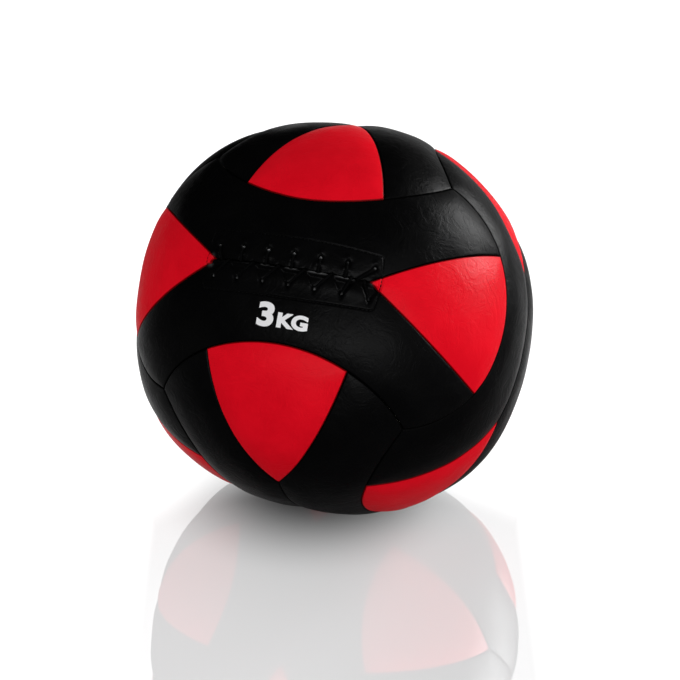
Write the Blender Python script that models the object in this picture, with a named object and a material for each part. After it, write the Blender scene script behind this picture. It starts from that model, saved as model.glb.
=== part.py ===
"""Wall ball: a soft, stuffed training ball in 24 sewn vinyl panels, laced shut, marked 3 kg.

Run it with blender --background --python part.py, or from Blender's text editor.
Metres, +Z up. The origin is the middle of the flat that the ball settles on.
The lacing faces -Y and is tipped up. Each panel is drawn on the ball as if it were
a cube with rounded faces, so the pattern has its own axes: -Y is the laced face.
"""

import math

import bmesh
import bpy
import numpy as np
from mathutils import Matrix, Vector, kdtree

# The ball as a whole
BALL_DIAMETER = 0.3556
REST_FLAT_DEPTH = 0.0034
SQUARENESS_SHARE = 0.094
SETTLING_SHARE = 0.0186
LACING_TILT = math.radians(40.4)
LACING_ROLL = math.radians(1.3)

# Where hand filling left the cover proud or hollow: azimuth from the lacing, height, depth
FILLING_LUMP_WIDTH = math.radians(16)
LUMP_HEIGHT = 0.0036
SLIGHT_LUMP_HEIGHT = 0.0026
FAINT_LUMP_HEIGHT = 0.0012
FILLING_LUMPS = (
    (106, 27, -LUMP_HEIGHT),
    (52, 60, LUMP_HEIGHT),
    (-74, 0, -LUMP_HEIGHT),
    (98, -38, LUMP_HEIGHT),
    (123, 39, -SLIGHT_LUMP_HEIGHT),
    (152, 61, SLIGHT_LUMP_HEIGHT),
    (-80, 24, FAINT_LUMP_HEIGHT),
    (-43, -37, -FAINT_LUMP_HEIGHT),
    (42, -55, FAINT_LUMP_HEIGHT),
    (82, -28, -FAINT_LUMP_HEIGHT),
)

# The panel pattern, as angles on the ball
SEAM_BOW = math.radians(24)
INSERT_TIP = math.radians(22.2)
INSERT_BULGE = math.radians(1.1)
INSERT_BASE_SHARE = 0.473

# The cover and its seams
VINYL_WALL = 0.0015
SEAM_GAP = 0.0003
SEAM_ALLOWANCE = 0.018
TURNED_EDGE_WIDTH = 0.0015
TURNED_EDGE_DROP = 0.001
PILLOW_DEPTH = 0.002
PILLOW_WIDTH = 0.022

# The lacing on the front face
LACE_DIAMETER = 0.0024
LACE_CLEARANCE = 0.0003
LACE_HOLE_EASE = 0.001
LACE_BEND_RADIUS = 0.0018
LACE_PAIRS = 7
LACE_PITCH = 0.0223
LACE_ROWS_SHIFT = 0.0015
UPPER_ROW_OFFSET = 0.012
LOWER_ROW_OFFSET = 0.0145
SLIT_END_MARGIN = 0.0045
LACE_CROWDING = 0.0052
LACE_TAIL = 0.0055

# The strips and the tongue behind the lacing
STRIP_LENGTH = 0.154
STRIP_WIDTH = 0.0258
STRIP_WALL = 0.001
STRIP_EASE = 0.0011
STRIP_SEAM_MARGIN = 0.009
TONGUE_LENGTH = 0.166
TONGUE_WIDTH = 0.060
TONGUE_WALL = 0.0012
TONGUE_EASE = 0.0006

# The lining bag and its mouth
LINING_WALL = 0.0012
LINING_EASE = 0.0008
INNER_GAP = 0.0003
MOUTH_LENGTH = 0.100
MOUTH_WIDTH = 0.034

# The weight in the middle
SAND_DIAMETER = 0.108
BAG_WALL = 0.0012
NECK_DIAMETER = 0.030
NECK_LENGTH = 0.020
TIE_DIAMETER = 0.004
TIE_INSET = 0.010
NECK_EASE = 0.002

# How finely each form is drawn
SHORT_CELLS = 4
BASE_CELLS = 10
SIDE_CELLS = 5
MIDDLE_CELLS = 8
STRIP_CELLS = (16, 3)
LINING_SUBDIVISIONS = 3
TURNED_STEPS = 16
GLOBE_STEPS = 9
TIE_SIDES = 6
BEND_POINTS = 3
HOLE_SIDES = 8
SEAM_SAMPLES = 160
SHARP_ANGLE = math.radians(40)
MERGE_DISTANCE = 0.00007
CUTTER_OVERRUN = 0.002

BLACK = (0.012, 0.012, 0.013, 1)
RED = (0.62, 0.012, 0.018, 1)
CORD_BLACK = (0.008, 0.008, 0.008, 1)
CANVAS = (0.30, 0.28, 0.25, 1)
FIBRE = (0.46, 0.45, 0.43, 1)
SAND = (0.42, 0.33, 0.22, 1)

X_AXIS, Y_AXIS, Z_AXIS = np.eye(3)
LACED_FACE = -Y_AXIS

ball_to_row = Matrix.Rotation(-LACING_TILT, 3, "X") @ Matrix.Rotation(LACING_ROLL, 3, "Y")
TO_ROW = np.array(ball_to_row)
UP_ON_BALL = TO_ROW.T @ Z_AXIS


def unit(vectors):
    return vectors / np.linalg.norm(vectors, axis=-1, keepdims=True)


def row_direction(azimuth, elevation):
    """A direction from the ball's middle, on the ball's own axes; azimuth turns from -Y to +X."""
    a, e = math.radians(azimuth), math.radians(elevation)
    in_row = np.array([math.sin(a) * math.cos(e), -math.cos(a) * math.cos(e), math.sin(e)])
    return TO_ROW.T @ in_row


def radius(directions):
    """The stuffed ball before its seams draw it in: a little cube-like, and settled on its base."""
    cube = (directions**4).sum(axis=-1) - 0.6
    upward = directions @ UP_ON_BALL
    shape = 1 - SQUARENESS_SHARE * cube - SETTLING_SHARE * (1.5 * upward**2 - 0.5)
    result = BALL_DIAMETER / 2 * shape
    for azimuth, elevation, height in FILLING_LUMPS:
        turned = np.arccos(np.clip(directions @ row_direction(azimuth, elevation), -1, 1))
        result = result + height * np.exp(-((turned / FILLING_LUMP_WIDTH) ** 2))
    return result


CENTRE_HEIGHT = float(radius(-UP_ON_BALL)) - REST_FLAT_DEPTH


def place(directions, depths, floor_depths):
    """Points this far below the ball's surface, in the row's frame, pressed flat on the floor."""
    reach = (radius(directions) - depths)[..., None]
    points = (directions * reach) @ TO_ROW.T + np.array([0, 0, CENTRE_HEIGHT])
    points[..., 2] = np.maximum(points[..., 2], floor_depths)
    return points


def arc(start, middle, end, shares):
    """Unit vectors at these shares of the way round the circle through three unit vectors."""
    axis = unit(np.cross(middle - start, end - middle))
    hub = axis * (start @ axis)
    first = start - hub
    second = np.cross(axis, first)
    last = end - hub
    sweep = math.atan2(last @ second, last @ first) % math.tau
    turns = np.asarray(shares)[:, None] * sweep
    return hub + np.cos(turns) * first + np.sin(turns) * second


def bowed_middle(start, end, towards, angle):
    """The middle of two unit vectors, turned by this angle towards a third."""
    middle = unit(start + end)
    across = unit(towards - (towards @ middle) * middle)
    return math.cos(angle) * middle + math.sin(angle) * across


def edge_seam(owner, other, along):
    """The long seam between two faces, corner to corner. It bows away from the owner's insert."""
    start, end = unit(owner + other - along), unit(owner + other + along)
    middle = bowed_middle(start, end, other - owner, SEAM_BOW)
    short = (1 - INSERT_BASE_SHARE) / 2
    shares = np.concatenate([
        np.linspace(0, short, SHORT_CELLS + 1),
        np.linspace(short, 1 - short, BASE_CELLS + 1)[1:],
        np.linspace(1 - short, 1, SHORT_CELLS + 1)[1:],
    ])
    return arc(start, middle, end, shares)


def insert_base(face, side, along):
    return edge_seam(face, side, along)[SHORT_CELLS : SHORT_CELLS + BASE_CELLS + 1]


def insert_tip(face, side):
    return math.cos(INSERT_TIP) * face + math.sin(INSERT_TIP) * side


def insert_side(face, side, along, cells=SIDE_CELLS):
    """The side of an insert, from its base's end towards along to its tip."""
    start, end = insert_base(face, side, along)[-1], insert_tip(face, side)
    middle = bowed_middle(start, end, along, INSERT_BULGE)
    return arc(start, middle, end, np.linspace(0, 1, cells + 1))


def middle_seam(face, side, cells=MIDDLE_CELLS):
    """The straight seam across a face, between its two inserts' tips."""
    return arc(insert_tip(face, -side), face, insert_tip(face, side), np.linspace(0, 1, cells + 1))


# Each face: its outward direction, the side its inserts lie on, and the side its black panels lie on
FACES = {
    "front": (-Y_AXIS, X_AXIS, Z_AXIS),
    "back": (Y_AXIS, X_AXIS, Z_AXIS),
    "top": (Z_AXIS, Y_AXIS, X_AXIS),
    "bottom": (-Z_AXIS, Y_AXIS, X_AXIS),
    "right": (X_AXIS, Z_AXIS, Y_AXIS),
    "left": (-X_AXIS, Z_AXIS, Y_AXIS),
}
SIDE_NAMES = {
    0: {1: "right", -1: "left"},
    1: {1: "back", -1: "front"},
    2: {1: "upper", -1: "lower"},
}


def side_name(axis, sign):
    return SIDE_NAMES[int(np.argmax(np.abs(axis)))][sign]


def tree_of(lines):
    points = np.concatenate(lines)
    tree = kdtree.KDTree(len(points))
    for index, point in enumerate(points):
        tree.insert(Vector(point), index)
    tree.balance()
    return tree


def resampled(line):
    """Points close together along a seam."""
    steps = np.linspace(0, len(line) - 1, SEAM_SAMPLES * (len(line) - 1) // BASE_CELLS + 1)
    low = np.minimum(steps.astype(int), len(line) - 2)
    part = (steps - low)[:, None]
    return unit(line[low] * (1 - part) + line[low + 1] * part)


sewn_lines, slit_lines = [], []
for face, insert_axis, panel_axis in FACES.values():
    target = slit_lines if face is FACES["front"][0] else sewn_lines
    target.append(resampled(middle_seam(face, insert_axis)))
    for side in (insert_axis, -insert_axis):
        sewn_lines.append(resampled(edge_seam(face, side, panel_axis)))
        for along in (panel_axis, -panel_axis):
            sewn_lines.append(resampled(insert_side(face, side, along)))
SEWN_TREE = tree_of(sewn_lines)
ALL_TREE = tree_of(sewn_lines + slit_lines)


def distance_to(tree, directions):
    flat = directions.reshape(-1, 3)
    gaps = np.array([tree.find(Vector(point))[2] for point in flat])
    return gaps.reshape(directions.shape[:-1]) * BALL_DIAMETER / 2


def pillow(directions):
    """How far the sewn seams draw the cover in."""
    near = np.clip(1 - distance_to(SEWN_TREE, directions) / PILLOW_WIDTH, 0, 1)
    return PILLOW_DEPTH * near**2


def cover_depths(directions):
    """The depths of the cover's outside and inside, with its turned and doubled edge."""
    gap = distance_to(ALL_TREE, directions)
    drawn_in = pillow(directions)
    turned = TURNED_EDGE_DROP * np.clip(1 - gap / TURNED_EDGE_WIDTH, 0, 1) ** 2
    doubled = VINYL_WALL * (1 + np.clip(1 - gap / SEAM_ALLOWANCE, 0, 1))
    return drawn_in + turned, drawn_in + doubled


STRIP_FRONT_DEPTH = 2 * VINYL_WALL + STRIP_EASE
LACE_INNER_DEPTH = STRIP_FRONT_DEPTH + STRIP_WALL + LACE_CLEARANCE + LACE_DIAMETER / 2
LACE_OUTER_DEPTH = -(LACE_CLEARANCE + LACE_DIAMETER / 2)
TONGUE_FRONT_DEPTH = LACE_INNER_DEPTH + LACE_DIAMETER / 2 + LACE_CLEARANCE + TONGUE_EASE
TONGUE_BACK_DEPTH = TONGUE_FRONT_DEPTH + TONGUE_WALL
LINING_DEPTH = PILLOW_DEPTH + 2 * VINYL_WALL + LINING_EASE
LINING_DIP = TONGUE_BACK_DEPTH + LINING_EASE - LINING_DEPTH


def lining_depths(directions):
    """The lining lies close behind the cover, and deeper behind the tongue."""
    away = np.arccos(np.clip(directions @ LACED_FACE, -1, 1)) * BALL_DIAMETER / 2
    near = np.clip(2 - 2 * away / TONGUE_LENGTH, 0, 1)
    return LINING_DEPTH + LINING_DIP * near * near * (3 - 2 * near)


# Objects, collections and materials
for old in list(bpy.data.objects):
    bpy.data.objects.remove(old, do_unlink=True)

parts = bpy.data.collections.new("wall_ball")
cutters = bpy.data.collections.new("wall_ball_cutters")
cutters.hide_render = True
for collection in (parts, cutters):
    bpy.context.scene.collection.children.link(collection)


def material(name, colour, roughness, metallic=0):
    made = bpy.data.materials.new(name)
    made.use_nodes = True
    shader = made.node_tree.nodes["Principled BSDF"]
    shader.inputs["Base Color"].default_value = colour
    shader.inputs["Roughness"].default_value = roughness
    shader.inputs["Metallic"].default_value = metallic
    return made


black_vinyl = material("black_vinyl", BLACK, 0.38)
red_vinyl = material("red_vinyl", RED, 0.36)
lace_material = material("lace", CORD_BLACK, 0.7)
canvas = material("canvas", CANVAS, 0.9)
fibre = material("fibre", FIBRE, 1)
sand = material("sand", SAND, 1)


def add_object(name, mesh, finish=None, collection=parts):
    piece = bpy.data.objects.new(name, mesh)
    collection.objects.link(piece)
    if finish:
        mesh.materials.append(finish)
    if collection is cutters:
        piece.display_type = "WIRE"
        piece.hide_render = True
    return piece


def finished_mesh(name, bm):
    bmesh.ops.recalc_face_normals(bm, faces=bm.faces)
    mesh = bpy.data.meshes.new(name)
    bm.to_mesh(mesh)
    bm.free()
    mesh.shade_smooth()
    mesh.set_sharp_from_angle(angle=SHARP_ANGLE)
    return mesh


def subtract(piece, cutter):
    cut = piece.modifiers.new("cut_" + cutter.name, "BOOLEAN")
    cut.operation = "DIFFERENCE"
    cut.solver = "EXACT"
    cut.object = cutter


def directions_of(verts):
    return unit(np.array([vert.co for vert in verts]))


def move_verts(verts, points):
    for vert, point in zip(verts, points):
        vert.co = point


def grid_of(directions):
    """A bmesh grid over an array of directions, one vertex to each, on the ball's own radius."""
    columns, rows = directions.shape[:2]
    bm = bmesh.new()
    bmesh.ops.create_grid(bm, x_segments=columns - 1, y_segments=rows - 1, size=1)
    verts = sorted(bm.verts, key=lambda vert: (round(vert.co.x, 4), round(vert.co.y, 4)))
    move_verts(verts, directions.reshape(-1, 3) * BALL_DIAMETER / 2)
    bmesh.ops.remove_doubles(bm, verts=bm.verts, dist=MERGE_DISTANCE)
    return bm


def thicken(bm, outside_depths, inside_depths):
    """A closed shell from an open grid of directions: its outside, its inside and its edge."""
    grown = bmesh.ops.extrude_face_region(bm, geom=bm.faces[:])["geom"]
    inner = [item for item in grown if isinstance(item, bmesh.types.BMVert)]
    outer = list(set(bm.verts) - set(inner))
    inner_at, outer_at = directions_of(inner), directions_of(outer)
    wall = inside_depths(inner_at) - outside_depths(inner_at)
    move_verts(inner, place(inner_at, inside_depths(inner_at), wall))
    move_verts(outer, place(outer_at, outside_depths(outer_at), 0))


def cover_panel(name, directions, finish):
    """One panel: shrunk by half the seam's gap, given a turned edge, and thickened inwards."""
    bm = grid_of(directions)
    for width, keep in ((SEAM_GAP / 2, False), (TURNED_EDGE_WIDTH, True)):
        bmesh.ops.recalc_face_normals(bm, faces=bm.faces)
        ring = bmesh.ops.inset_region(
            bm, faces=bm.faces[:], thickness=width, use_boundary=True, use_even_offset=True
        )["faces"]
        if not keep:
            bmesh.ops.delete(bm, geom=ring, context="FACES")
    thicken(bm, lambda at: cover_depths(at)[0], lambda at: cover_depths(at)[1])
    return add_object(name, finished_mesh(name, bm), finish)


def patch_between(near, far, left, right):
    """Directions that fill a four-sided patch of the ball from its four seams."""
    across = np.linspace(0, 1, len(near))[:, None, None]
    deep = np.linspace(0, 1, len(left))[None, :, None]
    ruled = (1 - deep) * near[:, None] + deep * far[:, None]
    crossed = (1 - across) * left[None] + across * right[None]
    corners = (1 - across) * ((1 - deep) * near[0] + deep * far[0]) + across * (
        (1 - deep) * near[-1] + deep * far[-1]
    )
    return unit(ruled + crossed - corners)


def black_panel(face_name, sign):
    face, insert_axis, panel_axis = FACES[face_name]
    side = sign * panel_axis
    long_seam = edge_seam(side, face, insert_axis)
    ends = [
        edge_seam(face, turn * insert_axis, side)[::-1][: SHORT_CELLS + 1] for turn in (-1, 1)
    ]
    chain = np.concatenate([
        insert_side(face, -insert_axis, side),
        middle_seam(face, insert_axis)[1:-1],
        insert_side(face, insert_axis, side)[::-1],
    ])
    name = f"black_panel_{face_name}_{side_name(panel_axis, sign)}"
    return cover_panel(name, patch_between(long_seam, chain, *ends), black_vinyl)


def red_insert(face_name, sign):
    face, insert_axis, panel_axis = FACES[face_name]
    side = sign * insert_axis
    base = insert_base(face, side, panel_axis)
    tip = np.repeat(insert_tip(face, side)[None], len(base), axis=0)
    sides = [insert_side(face, side, turn * panel_axis) for turn in (-1, 1)]
    name = f"red_insert_{face_name}_{side_name(insert_axis, sign)}"
    return cover_panel(name, patch_between(base, tip, *sides), red_vinyl)


panels = {}
for face_name in FACES:
    for sign in (1, -1):
        for piece in (black_panel(face_name, sign), red_insert(face_name, sign)):
            panels[piece.name] = piece

# The lacing: places on the laced face, x along the slit and z across it
FACE_RADIUS = float(radius(LACED_FACE))
SLIT_HALF = INSERT_TIP * FACE_RADIUS


def laced_direction(x, z):
    away = math.hypot(x, z)
    if away == 0:
        return LACED_FACE
    across = (x * X_AXIS + z * Z_AXIS) / away
    turn = away / FACE_RADIUS
    return math.cos(turn) * LACED_FACE + math.sin(turn) * across


def laced_point(x, z, depth):
    return Vector(place(laced_direction(x, z), depth, depth))


def slit_place(x, number):
    """Where the cord goes down the slit: at x, or where the slit's end crowds it."""
    end = SLIT_HALF - SLIT_END_MARGIN
    last = 2 * LACE_PAIRS - 1
    return min(max(x, number * LACE_CROWDING - end), end - (last - number) * LACE_CROWDING)


def lace_passes():
    """Where the cord goes through: up a hole, down the slit, by turns, from left to right."""
    passes = []
    for number in range(LACE_PAIRS):
        hole_x = LACE_ROWS_SHIFT + (number - (LACE_PAIRS - 1) / 2) * LACE_PITCH
        passes.append((hole_x, UPPER_ROW_OFFSET))
        passes.append((slit_place(hole_x, 2 * number), 0))
        passes.append((hole_x, -LOWER_ROW_OFFSET))
        passes.append((slit_place(hole_x + LACE_PITCH / 2, 2 * number + 1), 0))
    return passes


def lace_route():
    """The corners of the cord's path, then each corner rounded."""
    passes = lace_passes()
    first, last = passes[0], passes[-1]
    corners = [laced_point(first[0] - LACE_TAIL, first[1], LACE_INNER_DEPTH)]
    for number, (x, z) in enumerate(passes):
        depths = (LACE_INNER_DEPTH, LACE_OUTER_DEPTH)
        for depth in depths if number % 2 == 0 else depths[::-1]:
            corners.append(laced_point(x, z, depth))
    corners.append(laced_point(last[0] + LACE_TAIL, last[1], LACE_INNER_DEPTH))
    route = [corners[0]]
    for before, corner, after in zip(corners, corners[1:], corners[2:]):
        start = corner + (before - corner).normalized() * LACE_BEND_RADIUS
        end = corner + (after - corner).normalized() * LACE_BEND_RADIUS
        for step in range(BEND_POINTS):
            share = step / (BEND_POINTS - 1)
            route.append(start.lerp(corner, share).lerp(corner.lerp(end, share), share))
    return route + [corners[-1]]


NEXT_STRETCH_SHARE = 3


def least_gap(route, diameter):
    """The least gap of a cord to itself, between stretches that aren't next to each other."""
    points = np.array([
        a.lerp(b, share) for a, b in zip(route, route[1:]) for share in (0, 0.25, 0.5, 0.75)
    ])
    along = np.concatenate([[0], np.linalg.norm(np.diff(points, axis=0), axis=1).cumsum()])
    gaps = np.linalg.norm(points[:, None] - points[None], axis=2)
    far = np.abs(along[:, None] - along[None]) > NEXT_STRETCH_SHARE * diameter
    return gaps[far].min() - diameter, along[-1]


def tube(name, route, diameter, finish):
    curve = bpy.data.curves.new(name, "CURVE")
    curve.dimensions = "3D"
    curve.bevel_depth = diameter / 2
    curve.bevel_resolution = 1
    curve.use_fill_caps = True
    spline = curve.splines.new("POLY")
    spline.points.add(len(route) - 1)
    for point, place_at in zip(spline.points, route):
        point.co = (*place_at, 1)
    curve.materials.append(finish)
    return add_object(name, curve)


route = lace_route()
gap_to_itself, cord_length = least_gap(route, LACE_DIAMETER)
print(f"lace: {cord_length:.3f} m long, least gap to itself {gap_to_itself * 1000:.2f} mm")
tube("lace_cord", route, LACE_DIAMETER, lace_material)


def hole_cutter(name, places, near_depth, far_depth):
    """Round cutters square to the ball, one at each place on the laced face."""
    bm = bmesh.new()
    for x, z in places:
        direction = TO_ROW @ laced_direction(x, z)
        middle = laced_point(x, z, (near_depth + far_depth) / 2)
        turn = Vector(direction).to_track_quat("Z", "Y").to_matrix().to_4x4()
        bmesh.ops.create_cone(
            bm, cap_ends=True, segments=HOLE_SIDES, depth=far_depth - near_depth,
            radius1=LACE_DIAMETER / 2 + LACE_HOLE_EASE, radius2=LACE_DIAMETER / 2 + LACE_HOLE_EASE,
            matrix=Matrix.Translation(middle) @ turn,
        )
    return add_object(name, finished_mesh(name, bm), collection=cutters)


lace_holes = {}
for row_name, sign in (("upper", 1), ("lower", -1)):
    places = [at for at in lace_passes() if at[1] * sign >= 0]
    far_depth = STRIP_FRONT_DEPTH + STRIP_WALL + CUTTER_OVERRUN
    lace_holes[row_name] = hole_cutter(f"lace_holes_{row_name}", places, -CUTTER_OVERRUN, far_depth)
    subtract(panels[f"black_panel_front_{row_name}"], lace_holes[row_name])


def strip_end(z):
    """How far a strip behind the lacing reaches, clear of the insert's seam."""
    seam_x, _, seam_z = (insert_side(LACED_FACE, X_AXIS, Z_AXIS, SEAM_SAMPLES)[::-1] * FACE_RADIUS).T
    slope = math.atan2(np.interp(STRIP_WIDTH, seam_z, seam_x) - seam_x[0], STRIP_WIDTH)
    clear = (STRIP_SEAM_MARGIN + SEAM_GAP) / math.cos(slope)
    return min(STRIP_LENGTH / 2, np.interp(z, seam_z, seam_x) - clear)


def lacing_strip(name, sign, cutters_for_it):
    """A strip that backs one row of lace holes, trimmed clear of the inserts' seams."""
    columns, rows = STRIP_CELLS
    across = np.linspace(SEAM_GAP / 2, STRIP_WIDTH, rows + 1)
    along = np.linspace(-1, 1, columns + 1)
    directions = np.array([
        [laced_direction(share * strip_end(z), sign * z) for z in across] for share in along
    ])
    bm = grid_of(directions)

    def front(at):
        return STRIP_EASE + cover_depths(at)[1]

    thicken(bm, front, lambda at: front(at) + STRIP_WALL)
    piece = add_object(name, finished_mesh(name, bm), black_vinyl)
    subtract(piece, cutters_for_it)
    return piece


lacing_strip("lacing_strip_upper", 1, lace_holes["upper"])
lacing_strip("lacing_strip_lower", -1, lace_holes["lower"])

tongue_places = np.array([
    [laced_direction(x, z) for z in np.linspace(-TONGUE_WIDTH / 2, TONGUE_WIDTH / 2, STRIP_CELLS[1] + 1)]
    for x in np.linspace(-TONGUE_LENGTH / 2, TONGUE_LENGTH / 2, STRIP_CELLS[0] + 1)
])
tongue = grid_of(tongue_places)
thicken(
    tongue,
    lambda at: np.full(len(at), TONGUE_FRONT_DEPTH),
    lambda at: np.full(len(at), TONGUE_BACK_DEPTH),
)
add_object("lacing_tongue", finished_mesh("lacing_tongue", tongue), black_vinyl)


def round_shell(name, extra_depth, finish, collection=parts):
    """A closed ball of the lining's shape, this much deeper than the lining's outside."""
    bm = bmesh.new()
    bmesh.ops.create_icosphere(bm, subdivisions=LINING_SUBDIVISIONS, radius=BALL_DIAMETER / 2)
    directions = directions_of(bm.verts)
    depths = lining_depths(directions) + extra_depth
    move_verts(bm.verts, place(directions, depths, LINING_DEPTH + extra_depth))
    return add_object(name, finished_mesh(name, bm), finish, collection)


def ball_axes(piece):
    """Stands a piece that was made about the ball's own axes in the middle of the ball."""
    piece.matrix_world = Matrix.Translation((0, 0, CENTRE_HEIGHT)) @ ball_to_row.to_4x4()
    return piece


def box_on_ball(name, low, high):
    """A cutter between two corners on the ball's own axes."""
    bm = bmesh.new()
    bmesh.ops.create_cube(bm, size=1)
    size, middle = Vector(high) - Vector(low), (Vector(high) + Vector(low)) / 2
    for vert in bm.verts:
        vert.co = Vector([a * b for a, b in zip(vert.co, size)]) + middle
    return ball_axes(add_object(name, finished_mesh(name, bm), collection=cutters))


def turned(name, profile, finish, collection=parts):
    """A solid turned about the laced face's axis. The profile is (distance out, radius)."""
    bm = bmesh.new()
    verts = [bm.verts.new((size, -out, 0)) for out, size in profile]
    for first, second in zip(verts, verts[1:]):
        bm.edges.new((first, second))
    bmesh.ops.spin(
        bm, geom=bm.verts[:] + bm.edges[:], cent=(0, 0, 0), axis=(0, 1, 0),
        angle=math.tau, steps=TURNED_STEPS, use_merge=True,
    )
    bmesh.ops.remove_doubles(bm, verts=bm.verts, dist=MERGE_DISTANCE)
    return ball_axes(add_object(name, finished_mesh(name, bm), finish, collection))


BAG_INNER = SAND_DIAMETER / 2 + INNER_GAP
BAG_OUTER = BAG_INNER + BAG_WALL
NECK_TURN = math.asin(NECK_DIAMETER / 2 / BAG_OUTER)
NECK_END = BAG_OUTER + NECK_LENGTH
TIE_OUT = BAG_OUTER + TIE_INSET


def globe(globe_radius):
    """The profile of a globe, from its far pole round to the foot of the bag's neck."""
    turns = np.linspace(math.pi, NECK_TURN, GLOBE_STEPS + 1)
    outline = [(math.cos(turn) * globe_radius, math.sin(turn) * globe_radius) for turn in turns]
    return [(-globe_radius, 0)] + outline[1:]


def globe_with_neck(globe_radius, neck_radius, neck_end):
    foot = (math.sqrt(globe_radius**2 - neck_radius**2), neck_radius)
    below = [at for at in globe(globe_radius) if at[0] < foot[0]]
    return below + [foot, (neck_end, neck_radius)]


filling = globe(SAND_DIAMETER / 2)
turned("sand_fill", filling + [(filling[-1][0], 0)], sand)
outside = globe_with_neck(BAG_OUTER, NECK_DIAMETER / 2, NECK_END)
inside = globe_with_neck(BAG_INNER, NECK_DIAMETER / 2 - BAG_WALL, NECK_END)
turned("weight_bag", outside + inside[::-1], canvas)

bpy.ops.mesh.primitive_torus_add(
    major_segments=TURNED_STEPS, minor_segments=TIE_SIDES,
    major_radius=NECK_DIAMETER / 2 + INNER_GAP + TIE_DIAMETER / 2, minor_radius=TIE_DIAMETER / 2,
)
tie_mesh = bpy.context.object.data
bpy.data.objects.remove(bpy.context.object)
tie_mesh.transform(Matrix.Translation((0, -TIE_OUT, 0)) @ Matrix.Rotation(math.pi / 2, 4, "X"))
tie_mesh.shade_smooth()
ball_axes(add_object("weight_bag_tie", tie_mesh, lace_material))

recess_radius = NECK_DIAMETER / 2 + 2 * INNER_GAP + TIE_DIAMETER + NECK_EASE
recess_end = NECK_END + NECK_EASE
hollow_outline = globe_with_neck(BAG_OUTER + INNER_GAP, recess_radius, recess_end)
hollow = turned("weight_hollow", hollow_outline + [(recess_end, 0)], None, cutters)

lining = round_shell("lining_bag", 0, canvas)
subtract(lining, round_shell("lining_inside", LINING_WALL, None, cutters))
mouth = box_on_ball(
    "lining_mouth",
    (-MOUTH_LENGTH / 2, -BALL_DIAMETER, -MOUTH_WIDTH / 2),
    (MOUTH_LENGTH / 2, -recess_end, MOUTH_WIDTH / 2),
)
subtract(lining, mouth)

for name, low_y, high_y in (
    ("wadding_front", -INNER_GAP / 2, BALL_DIAMETER),
    ("wadding_back", -BALL_DIAMETER, INNER_GAP / 2),
):
    half = round_shell(name, LINING_WALL + INNER_GAP, fibre)
    other_half = box_on_ball(
        f"beyond_{name}",
        (-BALL_DIAMETER, low_y, -BALL_DIAMETER),
        (BALL_DIAMETER, high_y, BALL_DIAMETER),
    )
    subtract(half, other_half)
    subtract(half, hollow)
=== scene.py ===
"""Looks of the wall ball: its sewn vinyl cover, laced slit, filling, floor and lamps.

Everything is in metres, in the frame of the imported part: the origin is the middle of the
flat that the ball settles on, and the lacing faces -Y and is tipped up.
"""

import math

import bmesh
import bpy
import numpy as np
from mathutils import Matrix, Vector, kdtree, noise


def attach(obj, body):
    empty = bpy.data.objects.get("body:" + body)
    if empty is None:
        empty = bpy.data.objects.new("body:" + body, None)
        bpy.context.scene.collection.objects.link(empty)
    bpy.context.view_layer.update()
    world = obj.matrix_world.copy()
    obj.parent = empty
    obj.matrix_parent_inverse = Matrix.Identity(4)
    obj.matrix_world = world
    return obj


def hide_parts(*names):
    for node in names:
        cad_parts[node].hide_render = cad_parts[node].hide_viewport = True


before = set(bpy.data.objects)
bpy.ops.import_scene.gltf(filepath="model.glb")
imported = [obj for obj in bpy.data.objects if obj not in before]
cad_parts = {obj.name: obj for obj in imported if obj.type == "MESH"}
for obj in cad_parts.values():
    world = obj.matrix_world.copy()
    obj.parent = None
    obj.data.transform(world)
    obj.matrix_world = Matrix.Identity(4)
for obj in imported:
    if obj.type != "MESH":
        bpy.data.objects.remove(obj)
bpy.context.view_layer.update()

# The stuffed ball. Twenty-four pieces of vinyl are sewn edge to edge over packed textile, as on
# a cube with round faces: it stays a little cube-like, sags a little, and settles on a flat.
BALL_DIAMETER = 0.3556
REST_FLAT_DEPTH = 0.0034
SQUARENESS_SHARE = 0.094
MEAN_SQUARENESS = 0.6
SETTLING_SHARE = 0.0186
LACING_TILT = math.radians(40.4)
LACING_ROLL = math.radians(1.3)
LUMP_WIDTH = math.radians(16)
LUMP_HEIGHT = 0.0036
SLIGHT_LUMP_HEIGHT = 0.0026
FAINT_LUMP_HEIGHT = 0.0012
LUMPS = (
    (106, 27, -LUMP_HEIGHT),
    (52, 60, LUMP_HEIGHT),
    (-74, 0, -LUMP_HEIGHT),
    (98, -38, LUMP_HEIGHT),
    (123, 39, -SLIGHT_LUMP_HEIGHT),
    (152, 61, SLIGHT_LUMP_HEIGHT),
    (-80, 24, FAINT_LUMP_HEIGHT),
    (-43, -37, -FAINT_LUMP_HEIGHT),
    (42, -55, FAINT_LUMP_HEIGHT),
    (82, -28, -FAINT_LUMP_HEIGHT),
)

X_AXIS, Y_AXIS, Z_AXIS = np.eye(3)
LACED_FACE = -Y_AXIS
TO_ROW = np.array(Matrix.Rotation(-LACING_TILT, 3, "X") @ Matrix.Rotation(LACING_ROLL, 3, "Y"))
UP_ON_BALL = TO_ROW.T @ Z_AXIS


def unit(vectors):
    return vectors / np.linalg.norm(vectors, axis=-1, keepdims=True)


def bell(offset, width):
    return np.exp(-((offset / width) ** 2))


def turned_from(axis, directions):
    """How far directions are turned away from an axis, in radians."""
    return np.arccos(np.clip(directions @ axis, -1, 1))


def row_direction(azimuth, elevation):
    """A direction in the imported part's frame; azimuth turns from -Y to +X, in degrees."""
    a, e = math.radians(azimuth), math.radians(elevation)
    return np.array([math.sin(a) * math.cos(e), -math.cos(a) * math.cos(e), math.sin(e)])


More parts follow.
